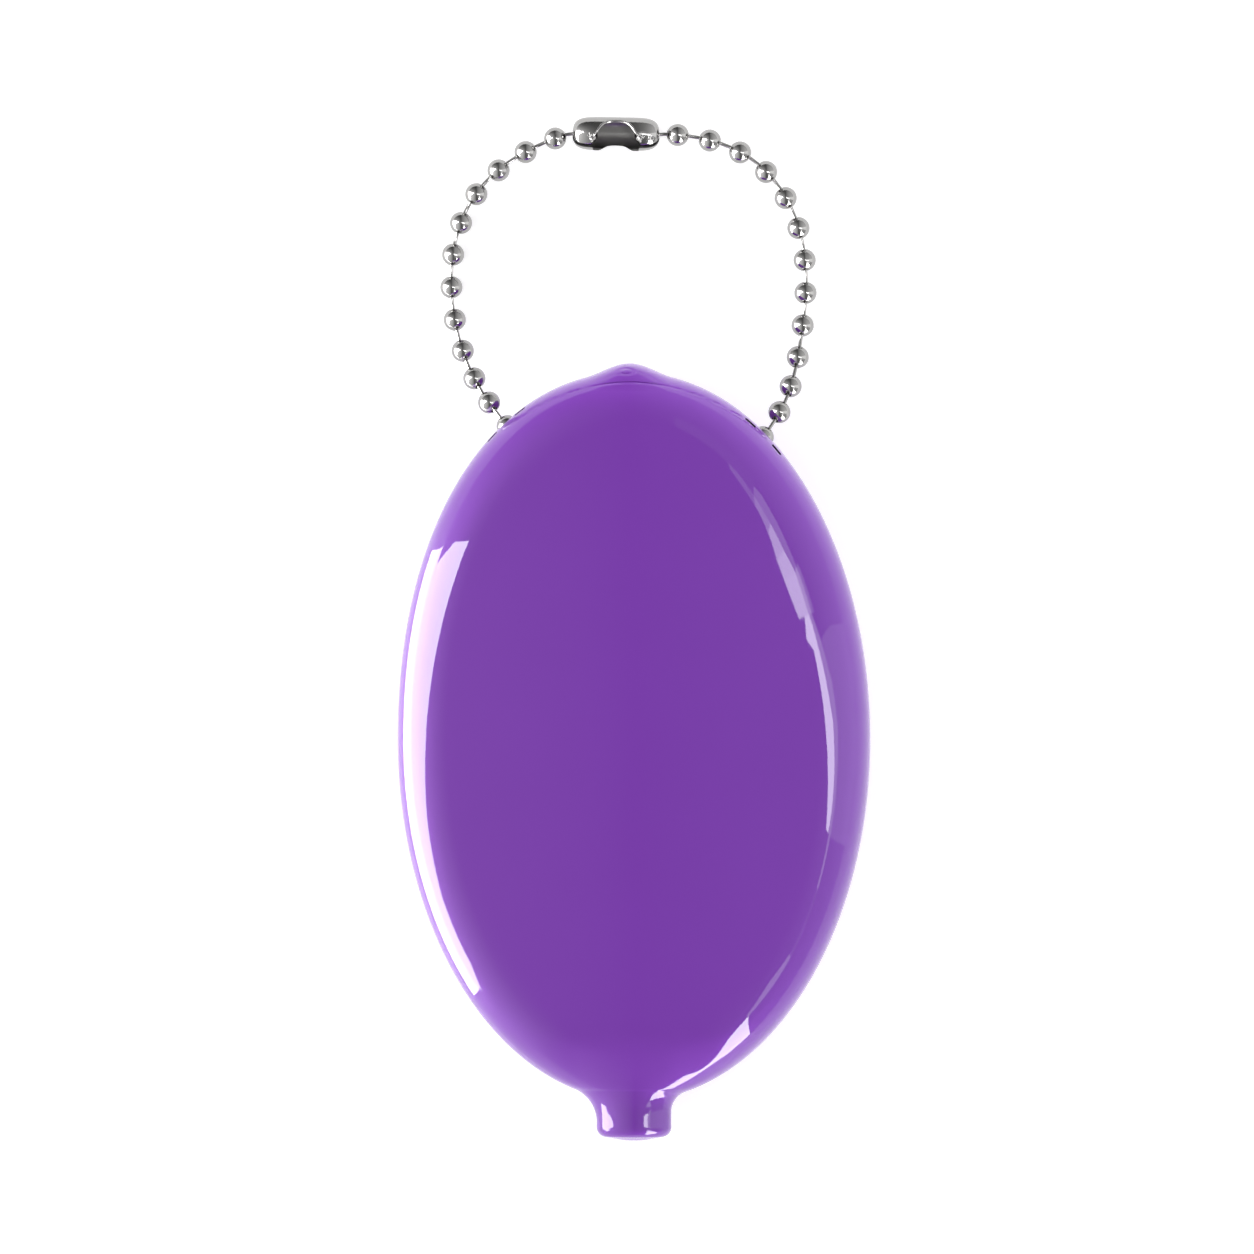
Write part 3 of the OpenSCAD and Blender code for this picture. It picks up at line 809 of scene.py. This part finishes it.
LEFT_LAST = 11
RIGHT_LAST = 12
chain_sides = [side_nodes("left", LEFT_LAST), side_nodes("right", RIGHT_LAST)]
bodies = frame["record"]["behaviour"]["bodies"]
body_of = {member: body for body, members in bodies.items() for member in members}
print("chain sides", [len(balls) for balls, pins in chain_sides], "balls")

# %% [markdown]
# A plain sphere would do from a step away. From close by, a ball shows the hole at each end with
# its rolled-in edge, the pin that runs into it, and a fine seam from hole to hole. One profile of
# the thin wall, turned about the chain's own line, gives all of them. A pin is turned as well,
# with a head at each end inside the balls. The stretch inside the purse doesn't show, so its
# solids stay as they are and only take the plating.

# %% Balls and pins
BALL_R = 1.2
BALL_WALL = 0.15
HOLE_R = 0.36
PIN_R = 0.2
BALL_AROUND = 56
BALL_STEPS = 26
SEAM_DEPTH = 0.02
SEAM_TURN = 2.4
ROLL_TURN = 0.09
ROLL_W = 0.03
ROLL_H = 0.035
ROLL_TIP = 0.004
PIN_AROUND = 24
HEAD_ARC = (0.02, 2.55)
HEAD_STEPS = 12
NECK_FLARE = 0.03
NECK_DROP = 0.05
NECK_SHARE = 0.9
CHAIN_SHARP = 45


def ball_profile():
    """Half section of a hollow ball: over the outside, round the hole's edge and back inside."""
    start = math.asin(HOLE_R / BALL_R)
    outer = [(BALL_R * math.sin(a), BALL_R * math.cos(a))
             for a in np.linspace(start + ROLL_TURN, math.pi - start - ROLL_TURN, BALL_STEPS)]
    inner_r = BALL_R - BALL_WALL
    start_in = math.asin(HOLE_R / inner_r)
    inner = [(inner_r * math.sin(a), inner_r * math.cos(a))
             for a in np.linspace(math.pi - start_in, start_in, BALL_STEPS)]
    edge_z = BALL_R * math.cos(start)
    bottom = [(HOLE_R + ROLL_W, -edge_z + ROLL_TIP), (HOLE_R, -edge_z + ROLL_H)]
    top = [(HOLE_R, edge_z - ROLL_H), (HOLE_R + ROLL_W, edge_z - ROLL_TIP)]
    return outer + bottom + inner + top


def turned(profile, around, seam=0.0, closed=True):
    """Points and faces of a profile turned about Z, with a seam groove along one side."""
    points = []
    for k in range(around):
        a = 2 * math.pi * k / around
        dip = seam if k == 0 else 0.0
        points += [((r - dip) * math.cos(a), (r - dip) * math.sin(a), z) for r, z in profile]
    n = len(profile)
    faces = []
    for k in range(around):
        here, there = k * n, (k + 1) % around * n
        for i in range(n if closed else n - 1):
            j = (i + 1) % n
            faces.append((here + i, here + j, there + j, there + i))
    return points, faces


def placed(name, points, faces, centre, line, material, roll=0.0):
    """A turned piece, moved to a place with its axis along a line."""
    turn = Vector(line).to_track_quat("Z", "Y").to_matrix() @ Matrix.Rotation(roll, 3, "Z")
    moved = [turn @ Vector(p) + Vector(centre) for p in points]
    piece = mesh_piece(name, [tuple(p) for p in moved], faces, material)
    face_outward(piece)
    sharpen(piece, CHAIN_SHARP)
    return piece


def pin_profile(length):
    """Half section of a pin, from one head to the other, closed on the axis."""
    end = length / 2 + HEAD_DEPTH
    head = [(HEAD_R * math.sin(a), end + HEAD_R * math.cos(a))
            for a in np.linspace(*HEAD_ARC, HEAD_STEPS)]
    neck = [(PIN_R + NECK_FLARE, end - HEAD_R * NECK_SHARE), (PIN_R, end - HEAD_R - NECK_DROP)]
    half = head + neck
    return half + [(r, -z) for r, z in reversed(half)]


def make_pin(node):
    """A pin between its two holes, whose places it hands back."""
    a, b = pin_line(node)
    profile = pin_profile(np.linalg.norm(b - a))
    n = len(profile)
    points, faces = turned(profile, PIN_AROUND, closed=False)
    faces.append(tuple(range(0, PIN_AROUND * n, n)))
    faces.append(tuple(range(n - 1, PIN_AROUND * n, n)))
    piece = placed(f"{node}_dressed", points, faces, (a + b) / 2, b - a, pin_nickel)
    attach(piece, body_of[node])
    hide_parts(node)
    return a, b


def make_ball(node, line, roll):
    points, faces = turned(ball_profile(), BALL_AROUND, seam=SEAM_DEPTH)
    piece = placed(f"{node}_dressed", points, faces, box_centre(node), line, ball_nickel, roll)
    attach(piece, body_of[node])
    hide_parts(node)


for balls, pins in chain_sides:
    holes = [make_pin(node) for node in pins]
    for k, node in enumerate(balls):
        centre = np.array(box_centre(node))
        near = holes[min(k, len(holes) - 1)]
        hole = min(near, key=lambda h: np.linalg.norm(h - centre))
        make_ball(node, hole - centre, roll=SEAM_TURN * k)
print("balls and pins dressed")

for node in ("inner_balls", "inner_pins"):
    frame["nodes"][node].data.materials.clear()
    frame["nodes"][node].data.materials.append(ball_nickel)
    frame["nodes"][node].data.shade_smooth()

# %% [markdown]
# ## The clasp
#
# The connector is one piece of sheet, rolled to a tube and closed over its ends. Its front is cut
# away in an arch, where a ball is pushed in, and its lower edge in a shallow mouth. It is made the
# same way: a thin wall is turned about the line of the two end balls, and then cut.

# %% Clasp shape
CLASP_L = 9.3
CLASP_R = 1.8
CLASP_WALL = 0.22
CLASP_HOLE_R = 0.45
CLASP_SLOT_W = 0.5
CLASP_SLOT_TILT = 40
WINDOW_HALF_W = 2.8
WINDOW_FOOT_Y = -0.55
WINDOW_TOP_Y = 1.33
MOUTH_HALF_W = 1.85
MOUTH_FOOT_Y = -1.8
MOUTH_TOP_Y = -1.22
BARREL_ALONG = 6
BARREL_ROUND = 2.8
ARCH_LEAN = 0.52
ARCH_FLARE = 0.75
ARCH_TOP = 8
ARCH_TOP_ROUND = 0.4
CLASP_AROUND = 112
CLASP_STEPS = 44
ARCH_STEPS = 16

left_end = np.array(box_centre("left_end_ball"))
right_end = np.array(box_centre("right_end_ball"))
clasp_middle = Vector((left_end + right_end) / 2)
clasp_turn = math.atan2(right_end[1] - left_end[1], right_end[0] - left_end[0])
clasp_to_world = Matrix.Rotation(clasp_turn, 3, "Z")
print("clasp turned by", round(math.degrees(clasp_turn), 2), "degrees")


def clasp_radius(x, shrink=0.0):
    """The tube is a slim barrel: almost straight in the middle and well rounded at its ends."""
    share = np.minimum(np.abs(x) / (CLASP_L / 2 - shrink), 1)
    return (CLASP_R - shrink) * np.maximum(1 - share**BARREL_ALONG, 0) ** (1 / BARREL_ROUND)


def clasp_profile():
    """Half section of the sheet: over the outside from one end hole to the other, and back."""
    sides = []
    for shrink in (0.0, CLASP_WALL):
        half, r = CLASP_L / 2 - shrink, CLASP_R - shrink
        hole = half * (1 - (CLASP_HOLE_R / r) ** BARREL_ROUND) ** (1 / BARREL_ALONG)
        xs = hole * np.sin(np.linspace(-math.pi / 2, math.pi / 2, CLASP_STEPS))
        sides.append([(float(clasp_radius(x, shrink)), float(x)) for x in xs])
    return sides[0] + sides[1][::-1]


def arch(half_w, foot_y, top_y):
    """Outline of an arch with flared feet that opens downward, past the edge of the tube."""
    side = [(MOUTH_HALF_W, -2 * CLASP_R)]
    for h in np.sin(np.linspace(0, math.pi / 2, ARCH_STEPS)):
        x = half_w * (1 - ARCH_LEAN * h**ARCH_FLARE) * max(1 - h**ARCH_TOP, 0) ** ARCH_TOP_ROUND
        side.append((float(x), foot_y + (top_y - foot_y) * float(h)))
    return side[:-1] + [(0, top_y)] + [(-x, y) for x, y in reversed(side[:-1])]


def window_outline():
    return arch(WINDOW_HALF_W, WINDOW_FOOT_Y, WINDOW_TOP_Y)


def clasp_place(points):
    return [tuple(clasp_to_world @ Vector(p) + clasp_middle) for p in points]


def clasp_prism(outline, low_z, high_z):
    points = clasp_place([(x, y, z) for z in (low_z, high_z) for x, y in outline])
    return mesh_piece("clasp_cutter", points, prism_faces(len(outline)), clasp_nickel)


def slot_cutter():
    """The slot that a pin slides along, from the mouth to the hole in the end."""
    h = CLASP_SLOT_W / 2
    corners = [(x, y, z) for x in (-CLASP_L, CLASP_L) for y, z in
               ((-2 * CLASP_R, -h), (0, -h), (0, h), (-2 * CLASP_R, h))]
    tilt = Matrix.Rotation(math.radians(-CLASP_SLOT_TILT), 3, "X")
    points = clasp_place([tilt @ Vector(p) for p in corners])
    return mesh_piece("clasp_cutter", points, prism_faces(4), clasp_nickel)


# %% [markdown]
# The cut edge of the window is burnished to a round bead, and the press left four short ridges at
# each of its feet and a small ring near one end. All of them are thin rods, half sunk in the
# sheet. A bevel of the cut edge would round it evenly, without the thickness of the bead.

# %% Bead and marks on the sheet
BEAD_R = 0.15
BEAD_AROUND = 12
BEAD_END = 12
BEAD_LEAST = 0.02
FOOT_LIFT = 0.05
RIDGES = ((62, 0.55), (95, 0.65), (135, 0.5), (-30, 0.35))
RIDGE_R = 0.035
RIDGE_SUNK = 0.02
RIDGE_STEPS = 7
GAUGE_MIDDLE = (3.75, -0.4)
GAUGE_R = 0.24
GAUGE_ROD_R = 0.07
GAUGE_SUNK = 0.03
GAUGE_STEPS = 25
INSIDE_FROM = 0.7
CLASP_SHARP = 35


def on_sheet(x, y, sunk=0.0):
    """The point of the front of the tube, a little under its surface, that is seen at x and y."""
    r = float(clasp_radius(x)) - sunk
    return Vector((x, y, math.sqrt(max(r * r - y * y, TINY))))


def bead(path, radius):
    """A round rod along a path, tapered to a dome at both ends."""
    points, faces = [], []
    for k, place in enumerate(path):
        ahead = path[min(k + 1, len(path) - 1)] - path[max(k - 1, 0)]
        turn = ahead.to_track_quat("Z", "Y").to_matrix()
        taper = math.sqrt(max(1 - abs(2 * k / (len(path) - 1) - 1) ** BEAD_END, BEAD_LEAST))
        for i in range(BEAD_AROUND):
            a = 2 * math.pi * i / BEAD_AROUND
            points.append(place + turn @ Vector((math.cos(a), math.sin(a), 0)) * radius * taper)
    for k in range(len(path) - 1):
        for i in range(BEAD_AROUND):
            a, b = k * BEAD_AROUND + i, k * BEAD_AROUND + (i + 1) % BEAD_AROUND
            faces.append((a, b, b + BEAD_AROUND, a + BEAD_AROUND))
    last = (len(path) - 1) * BEAD_AROUND
    faces += [tuple(range(BEAD_AROUND - 1, -1, -1)), tuple(range(last, last + BEAD_AROUND))]
    return points, faces


def clasp_marks():
    """Paths and radii of the rods: the window's edge, the ridges at its feet, and the ring."""
    outline = window_outline()[1:-1]
    rods = [([on_sheet(x, y, CLASP_WALL / 2) for x, y in outline], BEAD_R)]
    for side in (-1, 1):
        foot = Vector((side * WINDOW_HALF_W, WINDOW_FOOT_Y + FOOT_LIFT))
        for degrees, length in RIDGES:
            a = math.radians(degrees)
            step = Vector((side * -math.cos(a), math.sin(a))) * length
            path = [foot + step * s for s in np.linspace(0, 1, RIDGE_STEPS)]
            rods.append(([on_sheet(q.x, q.y, RIDGE_SUNK) for q in path], RIDGE_R))
    ring = [(GAUGE_MIDDLE[0] + GAUGE_R * math.cos(a), GAUGE_MIDDLE[1] + GAUGE_R * math.sin(a))
            for a in np.linspace(0, 2 * math.pi, GAUGE_STEPS)]
    rods.append(([on_sheet(x, y, GAUGE_SUNK) for x, y in ring], GAUGE_ROD_R))
    return rods


def make_clasp():
    points, faces = turned(clasp_profile(), CLASP_AROUND)
    lying = clasp_place([(z, y, -x) for x, y, z in points])
    piece = mesh_piece("clasp_dressed", lying, faces, clasp_nickel)
    face_outward(piece)
    cut(piece, clasp_prism(window_outline(), 0, 2 * CLASP_R))
    mouth = arch(MOUTH_HALF_W, MOUTH_FOOT_Y, MOUTH_TOP_Y)
    cut(piece, clasp_prism(mouth, -2 * CLASP_R, 2 * CLASP_R))
    cut(piece, slot_cutter())
    # Faces inside the tube get the rougher finish, whose darker colour is painted shade.
    piece.data.materials.append(clasp_inside_rough_shaded)
    to_clasp = clasp_to_world.inverted()
    for face in piece.data.polygons:
        place = to_clasp @ (Vector(face.center) / MM - clasp_middle)
        inside_r = clasp_radius(place.x) - INSIDE_FROM * CLASP_WALL
        if math.hypot(place.y, place.z) < inside_r:
            face.material_index = 1
    work = bmesh.new()
    work.from_mesh(piece.data)
    for path, radius in clasp_marks():
        rod_points, rod_faces = bead(path, radius)
        made = [work.verts.new(Vector(p) * MM) for p in clasp_place(rod_points)]
        for face in rod_faces:
            work.faces.new([made[i] for i in face])
    bmesh.ops.recalc_face_normals(work, faces=work.faces)
    work.to_mesh(piece.data)
    work.free()
    sharpen(piece, CLASP_SHARP)
    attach(piece, body_of["clasp"])
    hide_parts("clasp")
    return piece


clasp = make_clasp()
print("clasp", len(clasp.data.polygons), "faces")

# %% [markdown]
# ## Table and light
#
# The purse lies on white paper, which takes its shadow as any matt surface does. To the camera
# and in reflections the paper also glows a little, so that it comes out white without more light
# on the purse. Table, lamps and the distances of light cards are in metres.

# %% Table
TABLE_HALF = 3
TABLE_DROP = 0.00002
TABLE_GLOW = 0.52


def make_table_white():
    material, shader, add, link = new_material("table_white")
    set_up(shader, {"Base Color": (0.8, 0.8, 0.8, 1), "Roughness": 0.7, "Specular IOR Level": 0.2})
    path = add("ShaderNodeLightPath")
    glow = add("ShaderNodeEmission", Strength=TABLE_GLOW)
    both = add("ShaderNodeAddShader")
    pick = add("ShaderNodeMixShader")
    output = material.node_tree.nodes["Material Output"]
    link(shader.outputs["BSDF"], both.inputs[0])
    link(glow.outputs["Emission"], both.inputs[1])
    seen = add("ShaderNodeMath", operation="MAXIMUM")
    link(path.outputs["Is Camera Ray"], seen.inputs[0])
    link(path.outputs["Is Glossy Ray"], seen.inputs[1])
    link(seen.outputs["Value"], pick.inputs["Fac"])
    link(shader.outputs["BSDF"], pick.inputs[1])
    link(both.outputs["Shader"], pick.inputs[2])
    link(pick.outputs["Shader"], output.inputs["Surface"])
    return material


t = TABLE_HALF / MM
corners = [(-t, -t, 0), (t, -t, 0), (t, t, 0), (-t, t, 0)]
floor = mesh_piece("table", corners, [(0, 1, 2, 3)], make_table_white())
floor.location.z = -TABLE_DROP
print("table", 2 * TABLE_HALF, "m wide")

# %% [markdown]
# Gloss shows what stands round it: the bright shapes on the rims are reflections of a window and
# of light strips. Each is a white card in the distance, placed by the direction in which the rim
# reflects it, as an azimuth and an angle from straight up. An area lamp would also light the
# purse from there, while a card shows in reflections only. Where a strip grows dim along its
# length, cards of falling radiance follow one another.

# %% Light cards
LIGHT_D = 1.5
WINDOW = 15.0


def card_finish(name, radiance):
    material, _, add, link = new_material(name)
    shine = add("ShaderNodeEmission", Strength=radiance)
    output = material.node_tree.nodes["Material Output"]
    link(shine.outputs["Emission"], output.inputs["Surface"])
    return material


def hide_card(card):
    """A card shows in reflections only."""
    card.visible_camera = False
    card.visible_diffuse = False
    card.visible_shadow = False


def light_card(name, corners, radiance):
    """A far card. Each of its corners is an azimuth and an angle from straight up."""
    away = LIGHT_D / MM
    points = []
    for azimuth, off_zenith in corners:
        a, b = math.radians(azimuth), math.radians(off_zenith)
        flat = away * math.sin(b)
        points.append((flat * math.cos(a), flat * math.sin(a), away * math.cos(b)))
    hide_card(mesh_piece(name, points, [tuple(range(len(points)))], card_finish(name, radiance)))


light_card("left_window", [(156.5, 27), (163, 28), (170, 33), (180, 47), (190, 61), (200, 72),
                           (211, 73), (216, 89.5), (188, 89.5), (162, 89.5), (158, 60)], WINDOW)
light_card("low_right_window", [(-45.5, 46), (-50, 48), (-55, 52), (-60, 56), (-65, 64), (-70, 73),
                                (-77, 89.5), (-62, 89.5), (-48, 88)], WINDOW)
light_card("strip", [(14, 7.5), (10, 7.2), (5, 8.5), (0, 11), (-5, 16), (-10, 22.5), (-13, 28),
                     (-13, 34), (-10, 34), (-5, 31), (0, 27), (5, 18), (10, 12.5), (14, 10)], 11.0)
light_card("strip_side", [(-13, 34), (-10, 34), (-5, 31), (0, 27), (5, 18), (10, 12.5), (14, 10),
                          (14, 14), (10, 20), (5, 30), (0, 37), (-10, 40), (-13, 41)], 3.4)
light_card("strip_top", [(22, 6.3), (14, 6.9), (14, 9.5), (22, 8.4)], 8.5)
light_card("strip_top_side", [(22, 8.4), (14, 9.5), (14, 14), (22, 12.5)], 5.0)
light_card("strip_top_edge", [(22, 12.5), (14, 14), (14, 19), (22, 17)], 2.2)
light_card("strip_fade_a", [(27, 6.2), (22, 6.3), (22, 8.4), (27, 8.2)], 8.0)
light_card("strip_fade_b", [(33, 6.4), (27, 6.2), (27, 8.2), (33, 8.4)], 6.5)
light_card("strip_fade_c", [(40, 6.8), (33, 6.4), (33, 8.4), (40, 8.8)], 3.4)
light_card("strip_fade_d", [(50, 7.5), (40, 6.8), (40, 8.8), (50, 9.5)], 1.6)
light_card("strip_end", [(40, 8.8), (33, 8.4), (27, 8.2), (22, 8.4), (22, 12.5), (40, 13.0)], 2.2)
light_card("strip_haze", [(72, 9), (60, 8.5), (50, 9.5), (40, 8.8), (40, 25), (72, 25)], 0.6)
light_card("strip_low", [(-13, 36), (-20, 39), (-20, 44), (-13, 41)], 3.0)
light_card("strip_low_end", [(-20, 40), (-31, 42), (-31, 47), (-20, 44)], 1.1)
light_card("strip_foot", [(-31, 40), (-38, 33), (-46, 41), (-46, 46), (-31, 47)], 3.0)
light_card("right_screen", [(-13, 41), (-10, 40), (0, 37), (5, 30), (10, 21), (12, 50), (12, 89),
                            (0, 89), (-13, 89)], 1.7)

# %% [markdown]
# The steep part of the left rim reflects what lies on the table beside it. So the band of light
# along its outer edge comes from a card on the table, which follows the outline at a gap.

# %% Table card
CARD_GAP = 0.012
CARD_REACH = 1.45
CARD_STEPS = 40
CARD_LIFT = 0.00005


def outline_at(turn):
    """A point of the outline and the outward direction there, for a turn round the purse."""
    x, y = oval_point(math.radians(turn))
    out = Vector((x / BODY_W**2 * 4, y / float(reach_at(y)) ** 2, 0)).normalized()
    return Vector((x + float(lean(y)), y + WIDEST_Y, 0)), out


def table_card(name, turn_from, turn_to, radiance):
    points = []
    for turn in np.linspace(turn_from, turn_to, CARD_STEPS):
        place, out = outline_at(float(turn))
        points += [tuple(place + out * (reach / MM)) for reach in (CARD_GAP, CARD_REACH)]
    count = len(points) // 2
    faces = [(2 * i, 2 * i + 1, 2 * i + 3, 2 * i + 2) for i in range(count - 1)]
    card = mesh_piece(name, points, faces, card_finish(name, radiance))
    card.location.z = CARD_LIFT
    hide_card(card)


table_card("left_card", 150, 226, WINDOW)

# %% [markdown]
# Four wide, low lamps round the purse reach its steep rims more than its flat face. So the rims
# come out a brighter purple, as in a light tent. The lamps show in no reflection.

# %% Lamps
FILL_HEIGHT = 0.32
FILL_SIZE = (1.6, 0.5)
SIDE_FILLS = {"left": (-1.5, 0.0, 1.3), "right": (1.5, 0.0, 3.6), "top": (0.0, 1.5, 8.0),
              "foot": (0.0, -1.5, 5.0)}

for side, (x, y, radiance) in SIDE_FILLS.items():
    place = Vector((x, y, FILL_HEIGHT))
    data = bpy.data.lights.new(f"{side}_fill", "AREA")
    data.shape = "RECTANGLE"
    data.size, data.size_y = FILL_SIZE
    data.energy = radiance * FILL_SIZE[0] * FILL_SIZE[1] * math.pi
    lamp = bpy.data.objects.new(f"{side}_fill", data)
    lamp.location = place
    lamp.rotation_euler = place.to_track_quat("Z", "Y").to_euler()
    lamp.visible_camera = False
    lamp.visible_glossy = False
    scene.collection.objects.link(lamp)
print("lamps", len(SIDE_FILLS))

# %% [markdown]
# The rest of the room is dim, and brighter to the left and to the right. It is worked out from
# the direction in which a ray leaves. Where the camera looks past the table, the room is white.

# %% Room
ROOM_LEVEL = 0.12
ROOM_LEFT = 1.7
ROOM_RIGHT = 0.95
ROOM_FALL = 0.7
ROOM_LEFT_FADE = 1.0
ROOM_RIGHT_FADE = 0.8


def make_world():
    world = bpy.data.worlds.new("studio")
    scene.world = world
    world.use_nodes = True
    tree = world.node_tree
    background = tree.nodes["Background"]
    background.inputs["Color"].default_value = (1, 1, 1, 1)

    def maths(kind, a, b, clamp=False):
        node = tree.nodes.new("ShaderNodeMath")
        node.operation = kind
        node.use_clamp = clamp
        for socket, value in zip(node.inputs, (a, b)):
            if isinstance(value, float):
                socket.default_value = value
            else:
                tree.links.new(value, socket)
        return node.outputs["Value"]

    toward = tree.nodes.new("ShaderNodeTexCoord")
    parts = tree.nodes.new("ShaderNodeSeparateXYZ")
    tree.links.new(toward.outputs["Generated"], parts.inputs["Vector"])

    def side_light(sign, fade, level):
        """Light from one side, which falls away towards the middle and with Y."""
        level_x = maths("POWER", maths("MULTIPLY", parts.outputs["X"], sign, True), ROOM_FALL)
        level_y = maths("ADD", maths("MULTIPLY", parts.outputs["Y"], fade), 1.0, True)
        return maths("MULTIPLY", maths("MULTIPLY", level_x, level_y), level)

    left = side_light(-1.0, -ROOM_LEFT_FADE, ROOM_LEFT)
    right = side_light(1.0, ROOM_RIGHT_FADE, ROOM_RIGHT)
    room = maths("ADD", maths("ADD", left, right), ROOM_LEVEL)
    path = tree.nodes.new("ShaderNodeLightPath")
    strength = maths("MAXIMUM", room, path.outputs["Is Camera Ray"])
    tree.links.new(strength, background.inputs["Strength"])


make_world()
print("room", scene.world.name)
